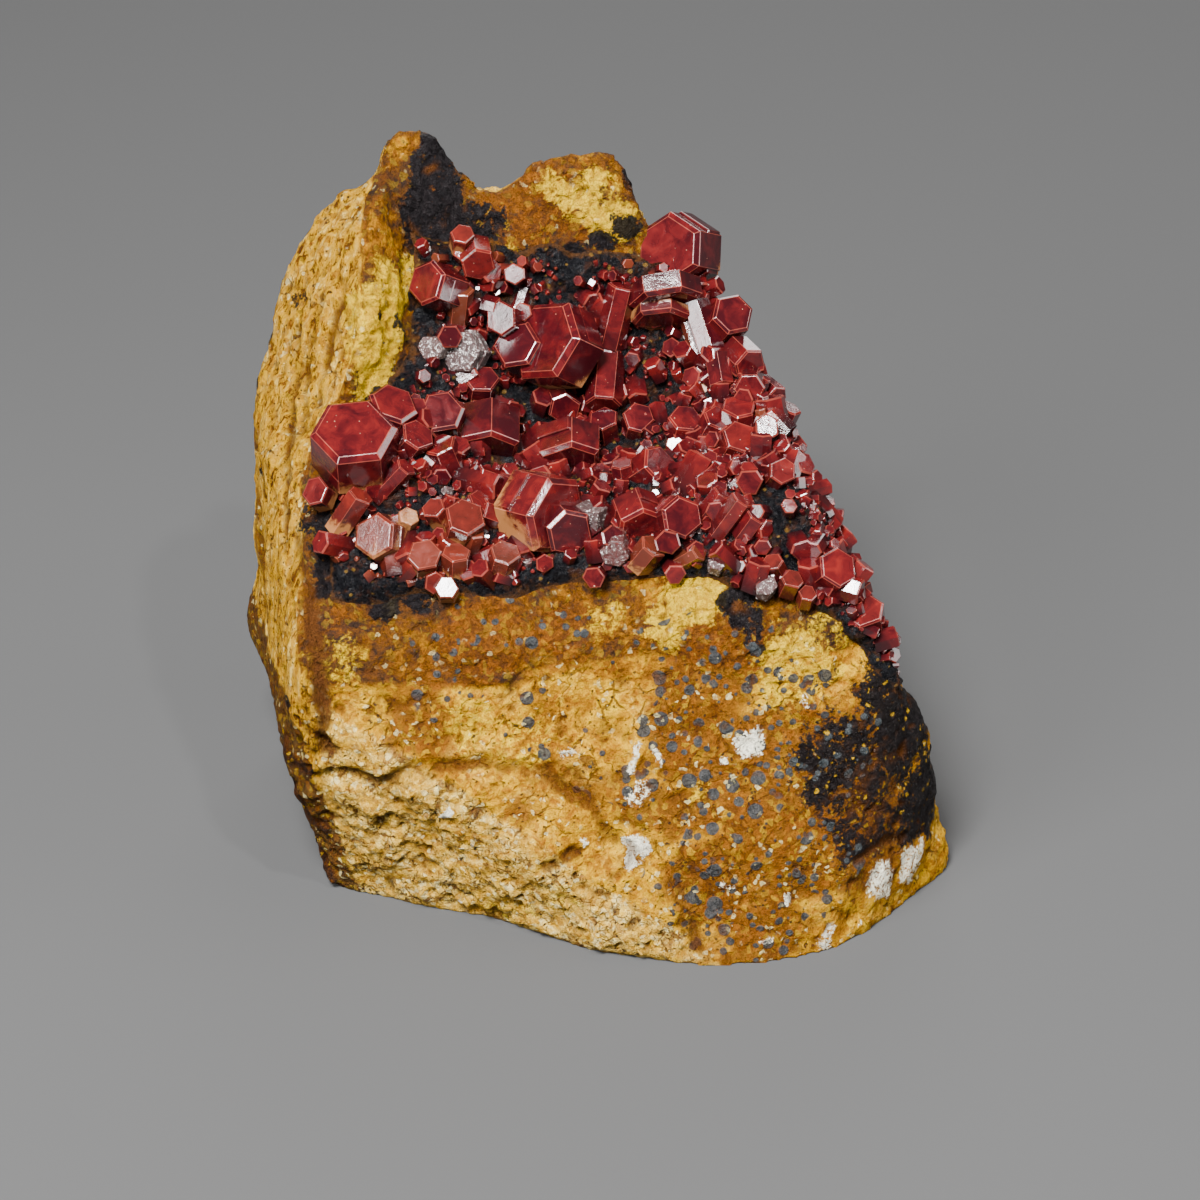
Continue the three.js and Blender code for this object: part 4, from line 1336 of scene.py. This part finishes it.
def seed_crystal(shape, layers, tall, uneven, draw):
    """Adds a plain hexagonal crystal 1 mm across that stands along +Z and has no underside."""
    base = hexagon(0.5, draw, uneven)
    end = (1 - SEED_SUNK) * tall
    rows = [(-SEED_SUNK * tall, 1.0), (end - PYRAMID_SLOPE * SEED_CUT, 1.0), (end, 1 - 2 * SEED_CUT)]
    rings = [[shape.verts.new(Vector((x * w, y * w, z)) * MM) for x, y in base] for z, w in rows]
    for step, (low, high) in enumerate(zip(rings, rings[1:])):
        for n in range(6):
            m = (n + 1) % 6
            face = shape.faces.new((low[n], low[m], high[m], high[n]))
            for loop in face.loops:
                buried = loop.vert in low and step == 0
                # Painted highlight on the pyramid faces, and painted glow lighter towards the top
                loop[layers["edge"]] = 0.7 * step
                loop[layers["rim"]] = 0.9 if loop.vert in high else 0.3
                loop[layers["foot"]] = 0.3 if buried else 0.0
                # Painted shade on the buried foot
                loop[layers["deep"]] = 1.2 if buried else 0.0
    top = shape.faces.new(rings[-1])
    for loop in top.loops:
        # Painted glow on the end face
        loop[layers["rim"]] = 0.35


def seed_crystals(name, uneven, seed):
    """A hidden collection of small crystals to pick from."""
    draw = np.random.RandomState(seed)
    group = bpy.data.collections.new(name)
    for number, tall in enumerate(SEED_TALLS):
        shape = bmesh.new()
        layers = {key: shape.loops.layers.float.new(key) for key in SEED_LAYERS}
        seed_crystal(shape, layers, tall, uneven, draw)
        mesh = bpy.data.meshes.new(f"{name}_{number}")
        shape.to_mesh(mesh)
        shape.free()
        group.objects.link(bpy.data.objects.new(f"{name}_{number}", mesh))
    return group


class GrowthTree:
    """Geometry nodes that stand pieces of a collection on a surface, as thickly as an attribute says."""

    INPUTS = {
        "Spacing": "Float",
        "Smallest": "Float",
        "Largest": "Float",
        "Lean": "Float",
        "Darkest": "Float",
        "Brightest": "Float",
        "Seed": "Int",
        "Pieces": "Collection",
        "Finish": "Material",
    }
    SMALL_MORE_OFTEN = 2.2
    ETCHED_SELDOM = 90.0
    THICKEST = 1e7

    def __init__(self, name, crowd_key):
        self.tree = bpy.data.node_groups.new(name, "GeometryNodeTree")
        self.ids = {}
        face = self.tree.interface
        face.new_socket("Geometry", in_out="OUTPUT", socket_type="NodeSocketGeometry")
        face.new_socket("Geometry", in_out="INPUT", socket_type="NodeSocketGeometry")
        for label, kind in self.INPUTS.items():
            socket = face.new_socket(label, in_out="INPUT", socket_type=f"NodeSocket{kind}")
            self.ids[label] = socket.identifier
        self.given = self.tree.nodes.new("NodeGroupInput").outputs
        self.build(crowd_key)

    def add(self, kind, settings=None, **values):
        """Makes a node, sets it up, then fills its sockets; a socket's name has _ for each space."""
        node = self.tree.nodes.new(kind)
        for key, value in (settings or {}).items():
            setattr(node, key, value)
        for key, value in values.items():
            label = key.replace("_", " ")
            self.plug(next(s for s in node.inputs if s.name == label and s.enabled), value)
        return node

    def plug(self, socket, value):
        if isinstance(value, bpy.types.NodeSocket):
            self.tree.links.new(value, socket)
        else:
            socket.default_value = value

    def maths(self, operation, first, second):
        node = self.add("ShaderNodeMath", {"operation": operation})
        self.plug(node.inputs[0], first)
        self.plug(node.inputs[1], second)
        return node.outputs[0]

    def chance(self, low, high, seed_shift):
        """A random number for each point."""
        seed = self.maths("ADD", self.given["Seed"], seed_shift)
        node = self.add("FunctionNodeRandomValue", {"data_type": "FLOAT"}, Min=low, Max=high, Seed=seed)
        return next(s for s in node.outputs if s.enabled)

    def attribute(self, key):
        node = self.add("GeometryNodeInputNamedAttribute", {"data_type": "FLOAT"}, Name=key)
        return next(s for s in node.outputs if s.enabled and s.name == "Attribute")

    def build(self, crowd_key):
        given = self.given
        spread = self.add(
            "GeometryNodeDistributePointsOnFaces",
            {"distribute_method": "POISSON"},
            Mesh=given["Geometry"],
            Distance_Min=given["Spacing"],
            Density_Max=self.THICKEST,
            Density_Factor=self.attribute(crowd_key),
            Seed=given["Seed"],
        )
        other_way = self.maths("MULTIPLY", given["Lean"], -1.0)
        tilt = self.add("ShaderNodeCombineXYZ")
        limits = ((other_way, given["Lean"]), (other_way, given["Lean"]), (0.0, math.tau))
        for axis, (low, high) in enumerate(limits):
            self.plug(tilt.inputs[axis], self.chance(low, high, axis + 1))
        lean = self.add("FunctionNodeEulerToRotation", Euler=tilt.outputs[0])
        stand = self.add(
            "FunctionNodeRotateRotation",
            {"rotation_space": "LOCAL"},
            Rotation=spread.outputs["Rotation"],
            Rotate_By=lean.outputs[0],
        )
        share = self.maths("POWER", self.chance(0.0, 1.0, 5), self.SMALL_MORE_OFTEN)
        span = self.maths("SUBTRACT", given["Largest"], given["Smallest"])
        pieces = self.add(
            "GeometryNodeCollectionInfo",
            Collection=given["Pieces"],
            Separate_Children=True,
            Reset_Children=True,
        )
        placed = self.add(
            "GeometryNodeInstanceOnPoints",
            Points=spread.outputs["Points"],
            Instance=pieces.outputs[0],
            Pick_Instance=True,
            Rotation=stand.outputs[0],
            Scale=self.maths("ADD", given["Smallest"], self.maths("MULTIPLY", span, share)),
        )
        bright = self.chance(given["Darkest"], given["Brightest"], 7)
        looks = {
            "tint": self.maths("ADD", bright, self.attribute("warmth")),
            "etched": self.maths("POWER", self.chance(0.0, 1.0, 9), self.ETCHED_SELDOM),
        }
        marked = placed.outputs[0]
        for key, value in looks.items():
            store = self.add(
                "GeometryNodeStoreNamedAttribute",
                {"data_type": "FLOAT", "domain": "INSTANCE"},
                Geometry=marked,
                Name=key,
                Value=value,
            )
            marked = store.outputs[0]
        real = self.add("GeometryNodeRealizeInstances", Geometry=marked)
        coloured = self.add("GeometryNodeSetMaterial", Geometry=real.outputs[0], Material=given["Finish"])
        out = self.tree.nodes.new("NodeGroupOutput")
        self.tree.links.new(coloured.outputs[0], out.inputs[0])


def scattered(name, surface, crowd_key, pieces, finish, **sizes):
    """A plain mesh of small pieces stood on the surface by a growth tree."""
    growth = GrowthTree(f"{name}_growth", crowd_key)
    bed = linked(f"{name}_bed", surface.data.copy())
    modifier = bed.modifiers.new("growth", "NODES")
    modifier.node_group = growth.tree
    values = {key.capitalize(): value for key, value in sizes.items()}
    for label, value in {"Pieces": pieces, "Finish": finish, **values}.items():
        modifier[growth.ids[label]] = value
    result = baked(bed, name)
    for seed in list(pieces.objects):
        bpy.data.objects.remove(seed)
    bpy.data.collections.remove(pieces)
    return result


# The studio


def build_floor(colour):
    reach, drop = 4000, 0.02
    points = [(x * reach, y * reach, -drop) for x, y in ((-1, -1), (1, -1), (1, 1), (-1, 1))]
    floor = mesh_object("studio_floor", points, [(0, 1, 2, 3)], smooth=False)
    f = Finish("studio_floor")
    paper = f.noise(f.place(), 40.0, 3.0)
    shade = f.mix(paper * 0.06, colour, tuple(0.9 * part for part in colour))
    floor.data.materials.append(f.close(Base_Color=shade, Roughness=0.9, Specular_IOR_Level=0.05))


# Rectangular lights: place and size in millimetres, and power as a share of the key light's
SOFTBOXES = {
    "key_softbox": ((-90, -300, 430), (130, 130), 1.0),
    "right_softbox": ((400, -60, 150), (240, 260), 0.12),
    "left_softbox": ((-300, -360, 330), (220, 220), 0.3),
    "back_softbox": ((60, 430, 260), (260, 260), 0.12),
    "glint_lamp": ((120, -250, 430), (20, 20), 0.1),
}


def add_softbox(name, place, size, power):
    """A rectangular area light that faces the specimen."""
    lamp = bpy.data.lights.new(name, "AREA")
    lamp.shape = "RECTANGLE"
    lamp.size = size[0] * MM
    lamp.size_y = size[1] * MM
    lamp.energy = power
    light = linked(name, lamp)
    light.location = Vector(place) * MM
    towards = Vector(AIM) * MM - light.location
    light.rotation_euler = towards.to_track_quat("-Z", "Y").to_euler()


def add_camera():
    lens = bpy.data.cameras.new("photo_camera")
    lens.sensor_width = SENSOR_WIDTH
    lens.lens = SENSOR_WIDTH * CAMERA_DISTANCE / FRAME_WIDTH
    lens.clip_start = 0.01
    camera = linked("photo_camera", lens)
    turn = Matrix((IMAGE_RIGHT, IMAGE_UP, -INTO_PHOTO)).transposed()
    camera.matrix_world = Matrix.Translation(Vector(EYE) * MM) @ turn.to_4x4()
    bpy.context.scene.camera = camera


WARM_WHITE = (1.0, 0.98, 0.95, 1.0)


def set_world(strength):
    world = bpy.data.worlds.new("studio_air")
    bpy.context.scene.world = world
    world.use_nodes = True
    air = world.node_tree.nodes["Background"]
    air.inputs["Color"].default_value = WARM_WHITE
    air.inputs["Strength"].default_value = strength


# The add-on


def slider(name, description, default, **more):
    return bpy.props.FloatProperty(name=name, description=description, default=default, **more)


class BlockSettings(bpy.types.PropertyGroup):
    voxel: slider("Mesh step", "Spacing of the block's mesh in millimetres", 0.366, min=0.2)


class CrystalSettings(bpy.types.PropertyGroup):
    uneven: slider("Unevenness", "How unequal a crystal's six sides are", 0.06, subtype="FACTOR")
    small_uneven: slider("Small unevenness", "The same for small crystals", 0.1, subtype="FACTOR")


class DruseSettings(bpy.types.PropertyGroup):
    spacing: slider("Spacing", "Between small crystals, in millimetres", 1.15)
    smallest: slider("Smallest", "Smallest crystal, in millimetres", 0.9)
    largest: slider("Largest", "Largest crystal, in millimetres", 2.5)
    fine_spacing: slider("Fine spacing", "Between the finest crystals, in millimetres", 0.55)
    fine_smallest: slider("Finest", "Finest crystal, in millimetres", 0.3)
    fine_largest: slider("Widest fine", "Widest of the finest crystals, in millimetres", 1.0)
    seed: bpy.props.IntProperty(name="Seed", description="Picks another arrangement", default=4)


class StageSettings(bpy.types.PropertyGroup):
    floor_colour: bpy.props.FloatVectorProperty(
        name="Floor", description="Colour of the floor", default=(0.06, 0.06, 0.06), subtype="COLOR"
    )
    sky: slider("Surrounding light", "Strength of the even light", 0.12)
    key_power: slider("Key light", "Power of the large softbox", 12.2, unit="POWER")


class MINERAL_OT_block(bpy.types.Operator):
    """Make the limonite block"""

    bl_idname = "mineral.block"
    bl_label = "Limonite block"

    def execute(self, context):
        block = build_matrix(context.scene.mineral_block.voxel)
        finished(block, "limonite", limonite(), "matrix")
        return {"FINISHED"}


class MINERAL_OT_crust(bpy.types.Operator):
    """Make the dark crust of the hollow"""

    bl_idname = "mineral.crust"
    bl_label = "Goethite crust"

    def execute(self, context):
        crust = build_crust(bpy.data.objects["limonite_block"])
        finished(crust, "vanadinite_druse", goethite(), "druse")
        return {"FINISHED"}


class MINERAL_OT_crystals(bpy.types.Operator):
    """Make the crystals that are listed one by one"""

    bl_idname = "mineral.crystals"
    bl_label = "Crystals"

    def execute(self, context):
        settings = context.scene.mineral_crystals
        material = vanadinite()
        draw = np.random.RandomState(11)
        for node, rows in CRYSTAL_GROUPS.items():
            piece = crystal_piece(f"{node}_faces", crystals_of(rows, draw, settings.uneven), draw)
            finished(piece, "vanadinite", material, node)
        rows = crystals_of(DRUSE_CRYSTALS, draw, settings.small_uneven)
        finished(crystal_piece("druse_crystals", rows, draw), "vanadinite_druse", material)
        return {"FINISHED"}


class MINERAL_OT_small_crystals(bpy.types.Operator):
    """Scatter the small crystals of the druse"""

    bl_idname = "mineral.small_crystals"
    bl_label = "Small crystals"

    def execute(self, context):
        settings = context.scene.mineral_druse
        material = bpy.data.materials["vanadinite_red"]
        crust = bpy.data.objects["goethite_crust"]
        small = scattered(
            "small_crystals",
            crust,
            "crowd",
            seed_crystals("small_seed", 0.1, 21),
            material,
            spacing=settings.spacing * MM,
            smallest=settings.smallest,
            largest=settings.largest,
            lean=0.9,
            darkest=0.05,
            brightest=0.45,
            seed=settings.seed,
        )
        finished(small, "vanadinite_druse", material)
        fine = scattered(
            "fine_crystals",
            crust,
            "fine_crowd",
            seed_crystals("fine_seed", 0.15, 22),
            material,
            spacing=settings.fine_spacing * MM,
            smallest=settings.fine_smallest,
            largest=settings.fine_largest,
            lean=1.1,
            darkest=0.1,
            brightest=0.5,
            seed=settings.seed + 1,
        )
        finished(fine, "vanadinite_druse", material)
        return {"FINISHED"}


class MINERAL_OT_studio(bpy.types.Operator):
    """Set the floor, the lights and the camera"""

    bl_idname = "mineral.studio"
    bl_label = "Studio"

    def execute(self, context):
        settings = context.scene.mineral_stage
        build_floor(tuple(settings.floor_colour))
        set_world(settings.sky)
        for name, (place, size, share) in SOFTBOXES.items():
            add_softbox(name, place, size, share * settings.key_power)
        add_camera()
        return {"FINISHED"}


class MINERAL_PT_panel(bpy.types.Panel):
    """The specimen's pieces"""

    bl_label = "Vanadinite on matrix"
    bl_idname = "MINERAL_PT_panel"
    bl_space_type = "VIEW_3D"
    bl_region_type = "UI"
    bl_category = "Mineral"

    def draw(self, context):
        scene = context.scene
        groups = (scene.mineral_block, scene.mineral_crystals, scene.mineral_druse, scene.mineral_stage)
        for settings in groups:
            for key in settings.bl_rna.properties.keys():
                if key not in {"rna_type", "name"}:
                    self.layout.prop(settings, key)
        for step in STEPS:
            self.layout.operator(step.bl_idname)


STEPS = (
    MINERAL_OT_block,
    MINERAL_OT_crust,
    MINERAL_OT_crystals,
    MINERAL_OT_small_crystals,
    MINERAL_OT_studio,
)
SETTINGS = {
    "mineral_block": BlockSettings,
    "mineral_crystals": CrystalSettings,
    "mineral_druse": DruseSettings,
    "mineral_stage": StageSettings,
}


def register():
    for settings in (*SETTINGS.values(), *STEPS, MINERAL_PT_panel):
        bpy.utils.register_class(settings)
    for key, settings in SETTINGS.items():
        setattr(bpy.types.Scene, key, bpy.props.PointerProperty(type=settings))


def unregister():
    for key in SETTINGS:
        delattr(bpy.types.Scene, key)
    for settings in reversed((*SETTINGS.values(), *STEPS, MINERAL_PT_panel)):
        bpy.utils.unregister_class(settings)


def main():
    register()
    bpy.ops.mineral.block()
    bpy.ops.mineral.crust()
    bpy.ops.mineral.crystals()
    bpy.ops.mineral.small_crystals()
    bpy.ops.mineral.studio()


if __name__ == "__main__":
    main()
